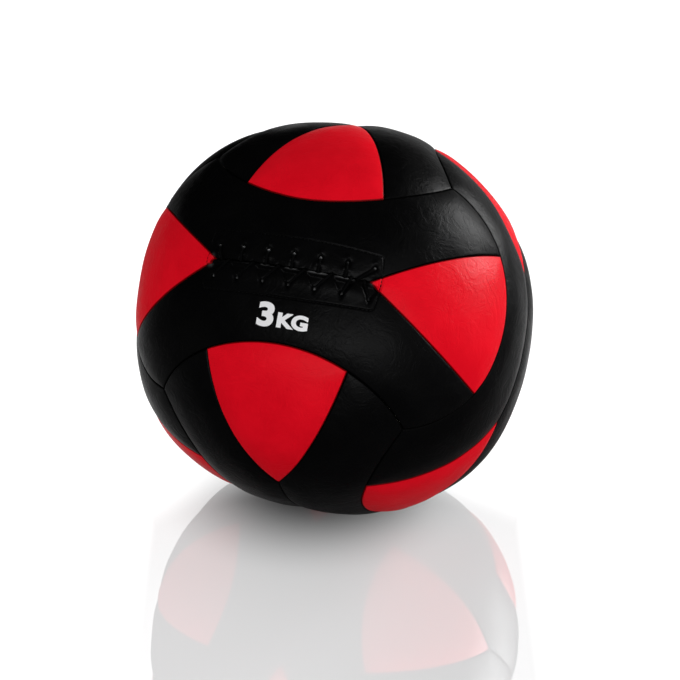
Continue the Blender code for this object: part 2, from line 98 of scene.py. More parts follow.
def radius(directions):
    """How far the stuffed cover stands from the middle, before its seams draw it in."""
    square = (directions**4).sum(axis=-1) - MEAN_SQUARENESS
    settled = 1.5 * (directions @ UP_ON_BALL) ** 2 - 0.5
    result = BALL_DIAMETER / 2 * (1 - SQUARENESS_SHARE * square - SETTLING_SHARE * settled)
    for azimuth, elevation, height in LUMPS:
        lump = TO_ROW.T @ row_direction(azimuth, elevation)
        result = result + height * bell(turned_from(lump, directions), LUMP_WIDTH)
    return result


CENTRE_HEIGHT = float(radius(-UP_ON_BALL)) - REST_FLAT_DEPTH


def on_row(points):
    """Points on the ball's own axes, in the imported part's frame."""
    return points @ TO_ROW.T + np.array([0, 0, CENTRE_HEIGHT])


def place(directions, depths, floor_depths=0):
    """Points this far below the stuffed surface, pressed flat where they meet the floor."""
    points = on_row(directions * (radius(directions) - depths)[..., None])
    points[..., 2] = np.maximum(points[..., 2], floor_depths)
    return points


# The camera stands at the photograph's viewing angle, a long lens in front and to the right of
# the lacing and above it. Angles here and in the room are in degrees.
VIEW_AZIMUTH, VIEW_ELEVATION = 16.57, 27
VIEW_DISTANCE = 1.956
LENS = 117.0
SHIFT = (0.0071, -0.0310)


def linked(name, data):
    """A new object in the scene."""
    made = bpy.data.objects.new(name, data)
    bpy.context.scene.collection.objects.link(made)
    return made


ball_middle = Vector((0, 0, CENTRE_HEIGHT))
towards_camera = Vector(row_direction(VIEW_AZIMUTH, VIEW_ELEVATION))
camera = linked("camera", bpy.data.cameras.new("camera"))
camera.location = ball_middle + towards_camera * VIEW_DISTANCE
camera.rotation_euler = (-towards_camera).to_track_quat("-Z", "Y").to_euler()
camera.data.lens = LENS
camera.data.shift_x, camera.data.shift_y = SHIFT
bpy.context.scene.camera = camera

# The seams. Each face of the cube-like ball has two black panels that meet in a middle seam, and
# two red inserts whose tips end it; an insert's base lies on the bowed seam of the next face.
SEAM_BOW = math.radians(24)
INSERT_TIP = math.radians(22.2)
INSERT_BULGE = math.radians(1.1)
INSERT_BASE_SHARE = 0.473
SHORT_SHARE = (1 - INSERT_BASE_SHARE) / 2
SAMPLE_STEP = 0.00025
EVEN_SHARES = np.linspace(0, 1, 60)
FINE_EVEN_SHARES = np.linspace(0, 1, 200)

FACES = {
    "front": (-Y_AXIS, X_AXIS, Z_AXIS),
    "back": (Y_AXIS, X_AXIS, Z_AXIS),
    "top": (Z_AXIS, Y_AXIS, X_AXIS),
    "bottom": (-Z_AXIS, Y_AXIS, X_AXIS),
    "right": (X_AXIS, Z_AXIS, Y_AXIS),
    "left": (-X_AXIS, Z_AXIS, Y_AXIS),
}
SIDE_NAMES = (("right", "left"), ("back", "front"), ("upper", "lower"))


def side_name(axis, sign):
    return SIDE_NAMES[int(np.argmax(axis))][0 if sign > 0 else 1]


def arc(start, middle, end, shares):
    """Unit vectors at these shares of the way round the circle through three unit vectors."""
    axis = unit(np.cross(middle - start, end - middle))
    hub = axis * (start @ axis)
    first, last = start - hub, end - hub
    second = np.cross(axis, first)
    sweep = math.atan2(last @ second, last @ first) % math.tau
    turns = np.asarray(shares)[:, None] * sweep
    return hub + np.cos(turns) * first + np.sin(turns) * second


def bowed_middle(start, end, towards, angle):
    middle = unit(start + end)
    across = unit(towards - (towards @ middle) * middle)
    return math.cos(angle) * middle + math.sin(angle) * across


def long_seam(owner, other, along, shares):
    """The seam between two faces, corner to corner, which bows away from the owner's insert."""
    start, end = unit(owner + other - along), unit(owner + other + along)
    return arc(start, bowed_middle(start, end, other - owner, SEAM_BOW), end, shares)


def insert_tip(face, side):
    return math.cos(INSERT_TIP) * face + math.sin(INSERT_TIP) * side


def insert_side(face, side, along, shares):
    """The side of a red insert, from its base's end towards along to its tip."""
    start = long_seam(face, side, along, [1 - SHORT_SHARE])[0]
    end = insert_tip(face, side)
    return arc(start, bowed_middle(start, end, along, INSERT_BULGE), end, shares)


def middle_seam(face, side, shares):
    return arc(insert_tip(face, -side), face, insert_tip(face, side), shares)


def length_of(line):
    return float(np.linalg.norm(np.diff(line, axis=0), axis=1).sum()) * BALL_DIAMETER / 2


# Each seam is stored as close samples: where it is, how far along, how much it puckers
PUCKER_ON_BLACK = 1
PUCKER_ON_RED = 0.3
PUCKER_END_FADE = 0.010
NO_RED, ALL_RED = (2, 2), (0, 1)
all_samples = []


def add_seam(line_at, red_shares, is_slit=False):
    length = length_of(line_at(FINE_EVEN_SHARES))
    shares = np.linspace(0, 1, int(length / SAMPLE_STEP))
    along = shares * length
    ends = np.clip(np.minimum(along, length - along) / PUCKER_END_FADE, 0, 1)
    red = (shares >= red_shares[0]) & (shares <= red_shares[1])
    all_samples.append({
        "place": line_at(shares),
        "along": along,
        "number": np.full(len(shares), len(all_samples)),
        "pucker": np.where(red, PUCKER_ON_RED, PUCKER_ON_BLACK) * ends,
        "slit": np.full(len(shares), is_slit),
    })


for face_name, (face, insert_axis, panel_axis) in FACES.items():
    add_seam(lambda shares: middle_seam(face, insert_axis, shares), NO_RED, face_name == "front")
    for side in (insert_axis, -insert_axis):
        add_seam(
            lambda shares: long_seam(face, side, panel_axis, shares),
            (SHORT_SHARE, 1 - SHORT_SHARE),
        )
        for along in (panel_axis, -panel_axis):
            add_seam(lambda shares: insert_side(face, side, along, shares), ALL_RED)
seams = {name: np.concatenate([seam[name] for seam in all_samples]) for name in all_samples[0]}


def tree_of(points):
    tree = kdtree.KDTree(len(points))
    for index, point in enumerate(points):
        tree.insert(Vector(point), index)
    tree.balance()
    return tree


sewn = {name: values[~seams["slit"]] for name, values in seams.items()}
SEWN_TREE, SLIT_TREE = tree_of(sewn["place"]), tree_of(seams["place"][seams["slit"]])


def nearest(tree, directions):
    """The distance to the nearest sample of these seams, and its number."""
    _, numbers, away = zip(*(tree.find(Vector(direction)) for direction in directions))
    return np.array(away) * BALL_DIAMETER / 2, np.array(numbers)


# The lacing. On the laced face the middle seam is left open as a slit. Seven pairs of holes
# stand beside it. The cord goes up a hole, over the vinyl and down the slit, by turns on each
# side, and its pull buckles the vinyl into dimples, lips and small facets.
LACE_DIAMETER = 0.0024
LACE_CLEARANCE = 0.0003
LACE_PAIRS = 7
LACE_PITCH = 0.0223
LACE_ROWS_SHIFT = 0.0015
UPPER_ROW_OFFSET = 0.012
LOWER_ROW_OFFSET = 0.0145
SLIT_END_MARGIN = 0.0045
LACE_CROWDING = 0.0052
FACE_RADIUS = float(radius(LACED_FACE))
SLIT_HALF = INSERT_TIP * FACE_RADIUS
NEARLY_NOTHING = 1e-12


def laced_direction(x, z):
    """The direction of a place on the laced face: x runs along the slit and z across it."""
    x, z = np.asarray(x, float), np.asarray(z, float)
    away = np.maximum(np.hypot(x, z), NEARLY_NOTHING)
    across = (x / away)[..., None] * X_AXIS + (z / away)[..., None] * Z_AXIS
    turn = (away / FACE_RADIUS)[..., None]
    return np.cos(turn) * LACED_FACE + np.sin(turn) * across


def laced_place(directions):
    away = turned_from(LACED_FACE, directions) * FACE_RADIUS
    across = np.maximum(np.hypot(directions[:, 0], directions[:, 2]), NEARLY_NOTHING)
    return away * directions[:, 0] / across, away * directions[:, 2] / across


def slit_place(x, number):
    """Where the cord goes down the slit: at x, or where the slit's end crowds it."""
    end = SLIT_HALF - SLIT_END_MARGIN
    last = 2 * LACE_PAIRS - 1
    return min(max(x, number * LACE_CROWDING - end), end - (last - number) * LACE_CROWDING)


# Each stretch of cord that shows: from a hole to its place in the slit, left to right
hole_places = LACE_ROWS_SHIFT + (np.arange(LACE_PAIRS) - (LACE_PAIRS - 1) / 2) * LACE_PITCH
spans = []
for number, hole_x in enumerate(hole_places.tolist()):
    over = slit_place(hole_x, 2 * number)
    under = slit_place(hole_x + LACE_PITCH / 2, 2 * number + 1)
    spans.append(((hole_x, UPPER_ROW_OFFSET), (over, 0)))
    spans.append(((hole_x, -LOWER_ROW_OFFSET), (under, 0)))

POCKET_DEPTH, POCKET_WIDTH = 0.0015, 0.0020
VALLEY_DEPTH, VALLEY_WIDTH = 0.0010, 0.0017
MOUND_HEIGHT, MOUND_WIDTH, MOUND_OFFSET = 0.0013, 0.0028, 0.0044
KNUCKLE_HEIGHT, KNUCKLE_WIDTH, KNUCKLE_REACH, KNUCKLE_OFFSET = 0.0016, 0.0038, 0.0022, 0.0058
LIP_HEIGHT, LIP_HALF, LIP_REACH, LIP_OFFSET = 0.0023, 0.0096, 0.0015, 0.0017
FACET_DROP, FACET_HALF, FACET_EDGE = 0.0019, 0.0090, 0.0030
HUMP_HEIGHT, HUMP_OFFSET, HUMP_REACH = 0.0010, 0.0095, 0.0060
SLIT_DRAW, SLIT_DRAW_REACH = 0.0009, 0.0050
DEEPEST_DIMPLE = 0.0030

# Painted highlights lighten the colour where light catches the lower lip by the cord: pair, half
# the length, and how much.
# Weaker ones are painted on the knuckles between the cord's bends and the slit, and at the slit's
# ends.
PAINTED_LIP_HIGHLIGHTS = ((2, 0.0043, 0.55), (3, 0.0060, 0.75), (4, 0.0100, 1.0), (5, 0.0094, 0.9))
LIP_HIGHLIGHT_OFFSET, LIP_HIGHLIGHT_WIDTH, LIP_HIGHLIGHT_BLUNTNESS = 0.0008, 0.00075, 0.1
PAINTED_KNUCKLE_HIGHLIGHTS = {3: 0.10, 4: 0.10, 5: 0.08}
PAINTED_TIP_HIGHLIGHTS = ((-0.0705, 0.0030, 0.35), (-0.0715, -0.0052, 0.45), (0.0690, -0.0010, 0.3))
TIP_HIGHLIGHT_REACH = 0.0017


def smooth(share):
    share = np.clip(share, 0, 1)
    return share * share * (3 - 2 * share)


def distance_to_span(x, z, span):
    (start_x, start_z), (end_x, end_z) = span
    run_x, run_z = end_x - start_x, end_z - start_z
    share = ((x - start_x) * run_x + (z - start_z) * run_z) / (run_x**2 + run_z**2)
    share = np.clip(share, 0, 1)
    return np.hypot(x - start_x - share * run_x, z - start_z - share * run_z)


def lacing_relief(x, z):
    """How far the cord's pull lifts the vinyl at a place on the laced face."""
    lower = z < 0
    deep = np.clip(-z / LOWER_ROW_OFFSET, 0, 1)
    within = smooth((SLIT_HALF + POCKET_WIDTH - np.abs(x)) / HUMP_REACH)
    lift = -SLIT_DRAW * bell(z, SLIT_DRAW_REACH) * within
    facets = np.zeros_like(x)
    for span in spans:
        (hole_x, row), _ = span
        beside = x - hole_x
        lift -= POCKET_DEPTH * bell(beside, POCKET_WIDTH) * bell(z - row, POCKET_WIDTH)
        lift -= VALLEY_DEPTH * bell(distance_to_span(x, z, span), VALLEY_WIDTH)
        if row > 0:
            mound = bell(beside, MOUND_WIDTH) * bell(z - row - MOUND_OFFSET, MOUND_WIDTH)
            knuckle = bell(beside, KNUCKLE_WIDTH) * bell(z - KNUCKLE_OFFSET, KNUCKLE_REACH)
            lift += MOUND_HEIGHT * mound + KNUCKLE_HEIGHT * knuckle
        else:
            lens = np.clip(1 - (beside / LIP_HALF) ** 2, 0, 1)
            lift += np.where(lower, LIP_HEIGHT * lens * bell(z + LIP_OFFSET, LIP_REACH), 0)
            half = FACET_HALF * (1 - deep) + POCKET_WIDTH / 2
            facets = np.maximum(facets, smooth((half - np.abs(beside)) / FACET_EDGE + 0.5))
    past_row = smooth((-z - LOWER_ROW_OFFSET) / HUMP_REACH)
    lift -= np.where(lower, FACET_DROP * facets * smooth(3 * deep) * (1 - past_row), 0)
    hump = HUMP_HEIGHT * bell(z + HUMP_OFFSET, HUMP_REACH) * (1 - facets) * within
    return np.maximum(lift + np.where(lower, hump, 0), -DEEPEST_DIMPLE)


def painted_highlight_share(x, z):
    """How much painted highlight the vinyl has at a place on the laced face, from 0 to 1."""
    painted_highlight = np.zeros_like(x)
    for pair, half, share in PAINTED_LIP_HIGHLIGHTS:
        lens = np.clip(1 - ((x - hole_places[pair]) / half) ** 2, 0, 1)
        width = LIP_HIGHLIGHT_WIDTH * np.sqrt(lens + LIP_HIGHLIGHT_BLUNTNESS)
        painted_highlight = np.maximum(painted_highlight, share * lens * bell(z + LIP_HIGHLIGHT_OFFSET, width))
    for pair, share in PAINTED_KNUCKLE_HIGHLIGHTS.items():
        beside = x - hole_places[pair]
        knuckle = bell(beside, KNUCKLE_WIDTH / 2) * bell(z - KNUCKLE_OFFSET, KNUCKLE_REACH / 2)
        painted_highlight = np.maximum(painted_highlight, share * knuckle)
    for at_x, at_z, share in PAINTED_TIP_HIGHLIGHTS:
        painted_highlight = np.maximum(painted_highlight, share * bell(np.hypot(x - at_x, z - at_z), TIP_HIGHLIGHT_REACH))
    return painted_highlight


# The stitched outline of the two strips behind the lacing shows on the front as a drawn-in line
# round a patch that stands a little proud. Its ends are bowed, and it narrows to the right.
PATCH_HALF_LENGTH = 0.0755
PATCH_HALF_WIDTH = 0.0256
PATCH_CORNER = 0.0022
PATCH_BOW = 0.0030
PATCH_NARROWING = 0.12
PATCH_PROUD = 0.0007
PATCH_STEP = 0.0012
STITCH_DEPTH = 0.0011
STITCH_WIDTH = 0.0006


def narrowed(x):
    return 1 - PATCH_NARROWING * np.clip(x / PATCH_HALF_LENGTH, 0, 1) ** 1.5


def patch_edge(x, z):
    """The distance outwards from the stitched outline, less than nothing inside it."""
    z = z / narrowed(x)
    out_x = np.abs(x) + PATCH_BOW * (z / PATCH_HALF_WIDTH) ** 2 - PATCH_HALF_LENGTH + PATCH_CORNER
    out_z = np.abs(z) - PATCH_HALF_WIDTH + PATCH_CORNER
    outside = np.hypot(np.maximum(out_x, 0), np.maximum(out_z, 0))
    return outside + np.minimum(np.maximum(out_x, out_z), 0) - PATCH_CORNER


def patch_relief(x, z):
    out = patch_edge(x, z)
    return PATCH_PROUD * smooth(0.5 - out / PATCH_STEP) - STITCH_DEPTH * bell(out, STITCH_WIDTH)


# The cover's relief: every sewn seam draws the vinyl in, its turned edges roll into the seam, the
# stitching puckers them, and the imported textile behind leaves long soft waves.
PILLOW_DEPTH = 0.002
PILLOW_WIDTH = 0.022
EDGE_ROLL = 0.0014
SEAM_GAP = 0.0003
VINYL_WALL = 0.0015
LEAST_WALL = 0.0006
SEAM_ALLOWANCE = 0.018
PUCKER_HEIGHT = 0.00036
PUCKER_WAVE = 0.0085
PUCKER_PATCH = 0.040
PUCKER_REACH = 0.0050
LEAST_PUCKER = 0.01
MEAN_PATCH, LEAST_PATCH = 0.35, 0.1
SEAM_NOISE_STEP, PATCH_NOISE_LEVEL = 7.3, 50
WAVES = ((0.060, 0.0008), (0.026, 0.00028))
LACING_ZONE = 0.100


def puckers(gap, index):
    """Small folds square to the nearest sewn seam, stronger in some stretches than in others."""
    along, number = sewn["along"][index], sewn["number"][index]
    strength = sewn["pucker"][index] * bell(gap, PUCKER_REACH)
    folds = np.zeros(len(gap))
    for at in np.flatnonzero(strength > LEAST_PUCKER):
        seam = float(number[at]) * SEAM_NOISE_STEP
        fold = noise.noise(Vector((along[at] / PUCKER_WAVE, seam, 0)))
        patch = noise.noise(Vector((along[at] / PUCKER_PATCH, seam, PATCH_NOISE_LEVEL)))
        folds[at] = fold * min(max(MEAN_PATCH + patch, LEAST_PATCH), 1)
    return PUCKER_HEIGHT * folds * strength


def noises(directions, width):
    """Noise over the ball, in lumps of this width."""
    scale = BALL_DIAMETER / 2 / width
    return np.array([noise.noise(Vector(at) * scale) for at in directions])


def soft_waves(directions):
    return sum(height * noises(directions, width) for width, height in WAVES)


def drawn_in(gap):
    return PILLOW_DEPTH * np.clip(1 - gap / PILLOW_WIDTH, 0, 1) ** 2


def doubled_wall(gap):
    """The vinyl's thickness, doubled where its edge is turned in at a seam."""
    return VINYL_WALL * (1 + np.clip(1 - gap / SEAM_ALLOWANCE, 0, 1))


def laced_zone(directions):
    """Places on the laced face, and which of them are near the lacing."""
    x, z = laced_place(directions)
    return x, z, (directions @ LACED_FACE > 0) & (np.hypot(x, z) < LACING_ZONE)


def seam_gaps(directions):
    """The distance to the nearest sewn seam, its sample's number, and the distance to any seam."""
    gap, index = nearest(SEWN_TREE, directions)
    return gap, index, np.minimum(gap, nearest(SLIT_TREE, directions)[0])


def cover_depths(directions):
    """How deep the cover's outside and inside are below the stuffed surface, and the seam's gap."""
    gap, index, any_gap = seam_gaps(directions)
    smooth_depth = drawn_in(gap) - soft_waves(directions)
    into_roll = np.clip(EDGE_ROLL - any_gap, 0, EDGE_ROLL)
    outside = smooth_depth + EDGE_ROLL - np.sqrt(EDGE_ROLL**2 - into_roll**2)
    outside = outside - puckers(gap, index)
    x, z, zone = laced_zone(directions)
    outside[zone] -= lacing_relief(x[zone], z[zone]) + patch_relief(x[zone], z[zone])
    inside = np.maximum(smooth_depth + doubled_wall(any_gap), outside + LEAST_WALL)
    return outside, inside, any_gap


# Meshes are written as rows of directions from one side of a panel to the other, stitched into
# faces and thickened inwards into a closed skin of vinyl.
CELL = 0.0026
FINE_CELL = 0.0008
EDGE_PLACES = (0.00014, 0.00034, 0.0006, 0.0009, 0.0013, 0.0019, 0.0029, 0.0043)
FINE_HALF_LENGTH = 0.084
FINE_HALF_WIDTH = 0.031
LEVEL_SHARE = 0.4
SHARPEST_SMOOTH = math.radians(62)


def spread(length):
    """Shares of a length: close together by the seams at its ends, and even between them."""
    low = np.array([edge for edge in EDGE_PLACES if edge < length / 3])
    high = length - low[::-1]
    between = max(1, round((high[0] - low[-1]) / CELL))
    middle = np.linspace(low[-1], high[0], between + 1)[1:-1]
    return np.concatenate([low, middle, high]) / length


def refined(shares, size_of_share, start, end):
    """The same shares, cut finer between two of them."""
    result = [shares[0]]
    for low, high in zip(shares, shares[1:]):
        inside = low < end and high > start
        cuts = max(1, math.ceil((high - low) * size_of_share / FINE_CELL)) if inside else 1
        result.extend(np.linspace(low, high, cuts + 1)[1:])
    return np.array(result)


class Rows:
    """Rows of directions and the faces between them."""

    def __init__(self):
        self.directions, self.faces, self.last = [], [], None

    def add(self, directions, ring=False):
        first = len(self.directions)
        self.directions.extend(directions)
        row = list(range(first, first + len(directions)))
        if self.last is not None:
            self.join(self.last, row)
            if ring:
                closing = self.last[-1], self.last[0], row[0], row[-1]
                self.faces.append(tuple(dict.fromkeys(closing)))
        self.last = row

    def join(self, near, far):
        """Faces between two rows: quads where they run level, and triangles where one has more."""
        i = j = 0
        while i < len(near) - 1 or j < len(far) - 1:
            share_i = (i + 1) / max(len(near) - 1, 1) if i < len(near) - 1 else 2
            share_j = (j + 1) / max(len(far) - 1, 1) if j < len(far) - 1 else 2
            if abs(share_i - share_j) < LEVEL_SHARE / max(len(near), len(far)):
                self.faces.append((near[i], near[i + 1], far[j + 1], far[j]))
                i, j = i + 1, j + 1
            elif share_i < share_j:
                self.faces.append((near[i], near[i + 1], far[j]))
                i += 1
            else:
                self.faces.append((near[i], far[j + 1], far[j]))
                j += 1


def closed_mesh(name, points, faces):
    """A mesh with its faces turned outwards."""
    mesh = bpy.data.meshes.new(name)
    mesh.from_pydata(points.tolist(), [], faces)
    bm = bmesh.new()
    bm.from_mesh(mesh)
    bmesh.ops.recalc_face_normals(bm, faces=bm.faces)
    bm.to_mesh(mesh)
    bm.free()
    return mesh


def skin(name, rows, depths_of=cover_depths, floor_depth=0):
    """A closed skin over these rows, which keeps how near seams are and how much painted highlight
    it has.
    """
    directions = np.array(rows.directions)
    outside, inside, gap = depths_of(directions)
    outer = place(directions, outside, floor_depth)
    inner = place(directions, inside, floor_depth + inside - outside)
    count = len(directions)
    edges = {(a, b) for f in rows.faces for a, b in zip(f, f[1:] + f[:1])}
    walls = [(b, a, a + count, b + count) for a, b in edges if (b, a) not in edges]
    back = [tuple(corner + count for corner in reversed(f)) for f in rows.faces]
    mesh = closed_mesh(name, np.concatenate([outer, inner]), rows.faces + back + sorted(walls))
    keep(mesh, "seam_distance", np.tile(np.broadcast_to(gap, count), 2))
    # The laced face's painted highlights, kept for the finish
    x, z, zone = laced_zone(directions)
    keep(mesh, "painted_highlight", np.concatenate([np.where(zone, painted_highlight_share(x, z), 0), 0 * x]))
    return shown(name, mesh)


def keep(mesh, name, values):
    """Keeps a value for each corner of a mesh, for its finish to read."""
    mesh.attributes.new(name, "FLOAT", "POINT").data.foreach_set("value", values.astype(np.float32))


def shown(name, mesh):
    mesh.shade_smooth()
    mesh.set_sharp_from_angle(angle=SHARPEST_SMOOTH)
    return linked(name, mesh)


def carried(piece, finish, node=None):
    """Gives a piece its material, lets it ride with the ball and stand in for a node."""
    piece.data.materials.append(finish)
    if node:
        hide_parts(node)
    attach(piece, "root")
    return piece


# Materials. A Field is a value on its way through a material: arithmetic on it adds Math nodes.
class Field:
    def __init__(self, finish, socket):
        self.finish, self.socket = finish, socket

    def __add__(self, other):
        return self.finish.maths("ADD", self, other)

    def __sub__(self, other):
        return self.finish.maths("SUBTRACT", self, other)

    def __rsub__(self, other):
        return self.finish.maths("SUBTRACT", other, self)

    def __mul__(self, other):
        return self.finish.maths("MULTIPLY", self, other)

    def __abs__(self):
        return self.finish.maths("ABSOLUTE", self, 0)


class Finish:
    """A material, or the world's light, and its shader. node() adds any other node to it."""

    def __init__(self, name, world=None, **constants):
        self.material = world or bpy.data.materials.new(name)
        self.material.use_nodes = True
        self.tree = self.material.node_tree
        self.shader = self.tree.nodes["Background" if world else "Principled BSDF"]
        self.surface = Field(self, self.shader.outputs[0])
        self.set(self.shader, {key.replace("_", " "): value for key, value in constants.items()})

    def set(self, node, sockets):
        for key, value in sockets.items():
            if isinstance(value, Field):
                self.tree.links.new(value.socket, node.inputs[key])
            else:
                node.inputs[key].default_value = value

    def node(self, kind, settings=None, sockets=None, output=0):
        made = self.tree.nodes.new(kind)
        for key, value in (settings or {}).items():
            setattr(made, key, value)
        self.set(made, sockets or {})
        return Field(self, made.outputs[output])

    def maths(self, operation, first, second):
        return self.node("ShaderNodeMath", {"operation": operation}, {0: first, 1: second})

    def place(self):
        return self.node("ShaderNodeTexCoord", output="Object")

    def kept(self, name):
        return self.node("ShaderNodeAttribute", {"attribute_name": name}, output="Fac")

    def ray(self, kind):
        return self.node("ShaderNodeLightPath", output=kind)

    def direct(self):
        """1 for a ray that hasn't been scattered by a matt surface."""
        return self.maths("LESS_THAN", self.ray("Diffuse Depth"), 1)

    def spots(self, scale, detail=2, roughness=0.5, stretch=0):
        return self.node("ShaderNodeTexNoise", {}, {
            "Vector": self.place(), "Scale": scale, "Detail": detail, "Roughness": roughness,
            "Distortion": stretch,
        })

    def cells(self, scale, feature="F1"):
        return self.node(
            "ShaderNodeTexVoronoi", {"feature": feature}, {"Vector": self.place(), "Scale": scale}
        )

    def between(self, value, low, high, to_low=0, to_high=1):
        return self.node(
            "ShaderNodeMapRange", {"interpolation_type": "SMOOTHSTEP"},
            {0: value, 1: low, 2: high, 3: to_low, 4: to_high},
        )

    def blend(self, share, first, second):
        return self.node(
            "ShaderNodeMix", {"data_type": "RGBA"}, {0: share, 6: first, 7: second}, output=2
        )

    def mixed(self, share, first, second):
        """Makes a mix of two shaders the material's surface."""
        both = self.node("ShaderNodeMixShader", {}, {0: share, 1: first, 2: second})
        self.tree.links.new(both.socket, self.tree.nodes["Material Output"].inputs[0])

    def painted(self, colour, roughness):
        self.set(self.shader, {"Base Color": colour, "Roughness": roughness})

    def bumped(self, height, distance):
        sockets = {"Height": height, "Distance": distance, "Strength": 1}
        self.set(self.shader, {"Normal": self.node("ShaderNodeBump", {}, sockets)})


def coated_vinyl(name, colours, roughness):
    """Knit-backed vinyl: a fine pressed grain, soft creases, and duller where it is handled.
    Painted shade darkens it by the seams, and painted highlights lighten it where the mesh keeps
    them.
    """
    colour, worn_colour, seam_shade_colour, highlight_colour = colours
    finish = Finish(name, Specular_IOR_Level=VINYL_GLOSS)
    grain = finish.cells(1300, "SMOOTH_F1")
    fine = finish.spots(3000)
    creases = abs(finish.spots(95, 4, 0.6, 1.2) - 0.5) * 2
    folds = finish.between(abs(finish.spots(38, 5, 0.62, 1.6) - 0.5), 0, 0.11)
    handled = finish.between(finish.spots(24, 4, 0.6), 0.35, 0.7)
    # Painted shade: the colour goes darker close to the seams, where shade falls into them
    seam_shade_share = finish.between(finish.kept("seam_distance"), 0.0006, 0.0015, 1, 0)
    # Painted highlight: lighter colour where the mesh keeps one
    painted_highlight = finish.kept("painted_highlight") * finish.between(finish.spots(520, 3, 0.6), 0.25, 0.6, 0.5, 1)
    plain = finish.blend(seam_shade_share, finish.blend(handled, colour, worn_colour), seam_shade_colour)
    finish.painted(
        finish.blend(painted_highlight, plain, highlight_colour),
        handled * 0.06 - folds * 0.03 + creases * 0.06 + roughness,
    )
    finish.bumped(grain * 0.28 + fine * 0.14 + creases * 0.7 + folds * 0.8, VINYL_RELIEF)
    return finish.material


# The black panels: twelve long hexagons of black vinyl, two to a face, cut from roll goods, sewn
# inside out to their neighbours with a turned allowance, then turned right side out.
BLACK = (0.0012, 0.0012, 0.0013, 1)
WORN_BLACK = (0.0017, 0.0017, 0.0018, 1)
# Painted shade, close to the seams
BLACK_SEAM_SHADE = (0.0004, 0.0004, 0.0004, 1)
# Painted highlight for the lips and knuckles by the slit
BLACK_PAINTED_HIGHLIGHT = (0.110, 0.110, 0.112, 1)
VINYL_GLOSS = 0.010
VINYL_RELIEF = 0.00012
# How much of a panel's length runs beside each insert: on its chain of seams, and on its long seam
SIDE_SHARE = 5 / 18
SHORT_CELL_SHARE = 4 / 18

black_vinyl = coated_vinyl("black vinyl", (BLACK, WORN_BLACK, BLACK_SEAM_SHADE, BLACK_PAINTED_HIGHLIGHT), 0.34)


def panel_row(across, share, near_side, far_side, left, right):
    """Directions across a panel at this share of its depth, true to all four of its sides."""

    def ruled(near, far):
        return (1 - share) * near + share * far

    def crossed(start, end):
        return (1 - across)[:, None] * start + across[:, None] * end

    both_ways = ruled(near_side(across), far_side(across)) + crossed(left, right)
    ends = np.array([0, 1])
    return unit(both_ways - ruled(crossed(*near_side(ends)), crossed(*far_side(ends))))


def sewn_in(rows, vinyl, slot, kind, name):
    """A piece of the cover, from its rows."""
    piece = carried(skin(f"{slot}_{name}", rows), vinyl, f"{kind}_{name}")
    return piece


def black_panel(face_name, sign):
    face, insert_axis, panel_axis = FACES[face_name]
    side = sign * panel_axis

    def near_side(shares):
        knees = [0, SHORT_CELL_SHARE, 1 - SHORT_CELL_SHARE, 1]
        along = np.interp(shares, knees, [0, SHORT_SHARE, 1 - SHORT_SHARE, 1])
        return long_seam(side, face, insert_axis, along)

    def far_side(shares):
        shares = np.asarray(shares)
        first = insert_side(face, -insert_axis, side, shares / SIDE_SHARE)
        middle = middle_seam(face, insert_axis, (shares - SIDE_SHARE) / (1 - 2 * SIDE_SHARE))
        last = insert_side(face, insert_axis, side, (1 - shares) / SIDE_SHARE)
        shares = shares[:, None]
        return np.where(shares < SIDE_SHARE, first, np.where(shares > 1 - SIDE_SHARE, last, middle))

    def end_side(turn, shares):
        return long_seam(face, turn * insert_axis, side, 1 - shares * SHORT_SHARE)

    width = length_of(end_side(1, EVEN_SHARES))
    across, deep = spread(length_of(near_side(EVEN_SHARES))), spread(width)
    for knee in (SIDE_SHARE, 1 - SIDE_SHARE):
        across[np.argmin(np.abs(across - knee))] = knee
    if face_name == "front":
        chain = far_side(across)
        fine = across[np.abs(laced_place(chain)[0]) < FINE_HALF_LENGTH]
        across = refined(across, length_of(chain), fine[0], fine[-1])
        deep = refined(deep, width, 1 - FINE_HALF_WIDTH / width, 1)
    rows = Rows()
    for share, left, right in zip(deep, end_side(-1, deep), end_side(1, deep)):
        directions = panel_row(across, share, near_side, far_side, left, right)
        rows.add(opened_slit(directions) if face_name == "front" else directions)
    name = f"{face_name}_{side_name(panel_axis, sign)}"
    return sewn_in(rows, black_vinyl, "black_vinyl", "black_panel", name)


LIP_PARTING = LACE_DIAMETER / 2 + LACE_CLEARANCE / 2
LIP_PARTING_WIDTH = 0.0026
LIP_PARTING_REACH = 0.0034


def opened_slit(directions):
    """The lips of the slit give way where the cord goes down between them."""
    x, z = laced_place(directions)
    parted = np.zeros_like(x)
    for _, (at, _) in spans:
        parted = np.maximum(parted, bell(x - at, LIP_PARTING_WIDTH))
    near = (np.abs(z) < FINE_HALF_WIDTH) & (np.abs(x) < SLIT_HALF)
    shift = np.where(near, LIP_PARTING * parted * np.exp(-np.abs(z) / LIP_PARTING_REACH), 0)
    return laced_direction(x, z + np.sign(z) * shift)


black_pieces = {}
for face_name in FACES:
    for sign in (1, -1):
        piece = black_panel(face_name, sign)
        black_pieces[piece.name] = piece

# The red inserts: twelve round-based triangles of red vinyl, each let in between two black
# panels with its point at the end of their middle seam.
RED = (0.62, 0.0026, 0.0105, 1)
WORN_RED = (0.68, 0.0034, 0.0125, 1)
# Painted shade, close to the seams
RED_SEAM_SHADE = (0.13, 0.0004, 0.0012, 1)
# Painted highlight for the inserts' tips by the slit
RED_PAINTED_HIGHLIGHT = (0.66, 0.05, 0.06, 1)

red_vinyl = coated_vinyl("red vinyl", (RED, WORN_RED, RED_SEAM_SHADE, RED_PAINTED_HIGHLIGHT), 0.37)


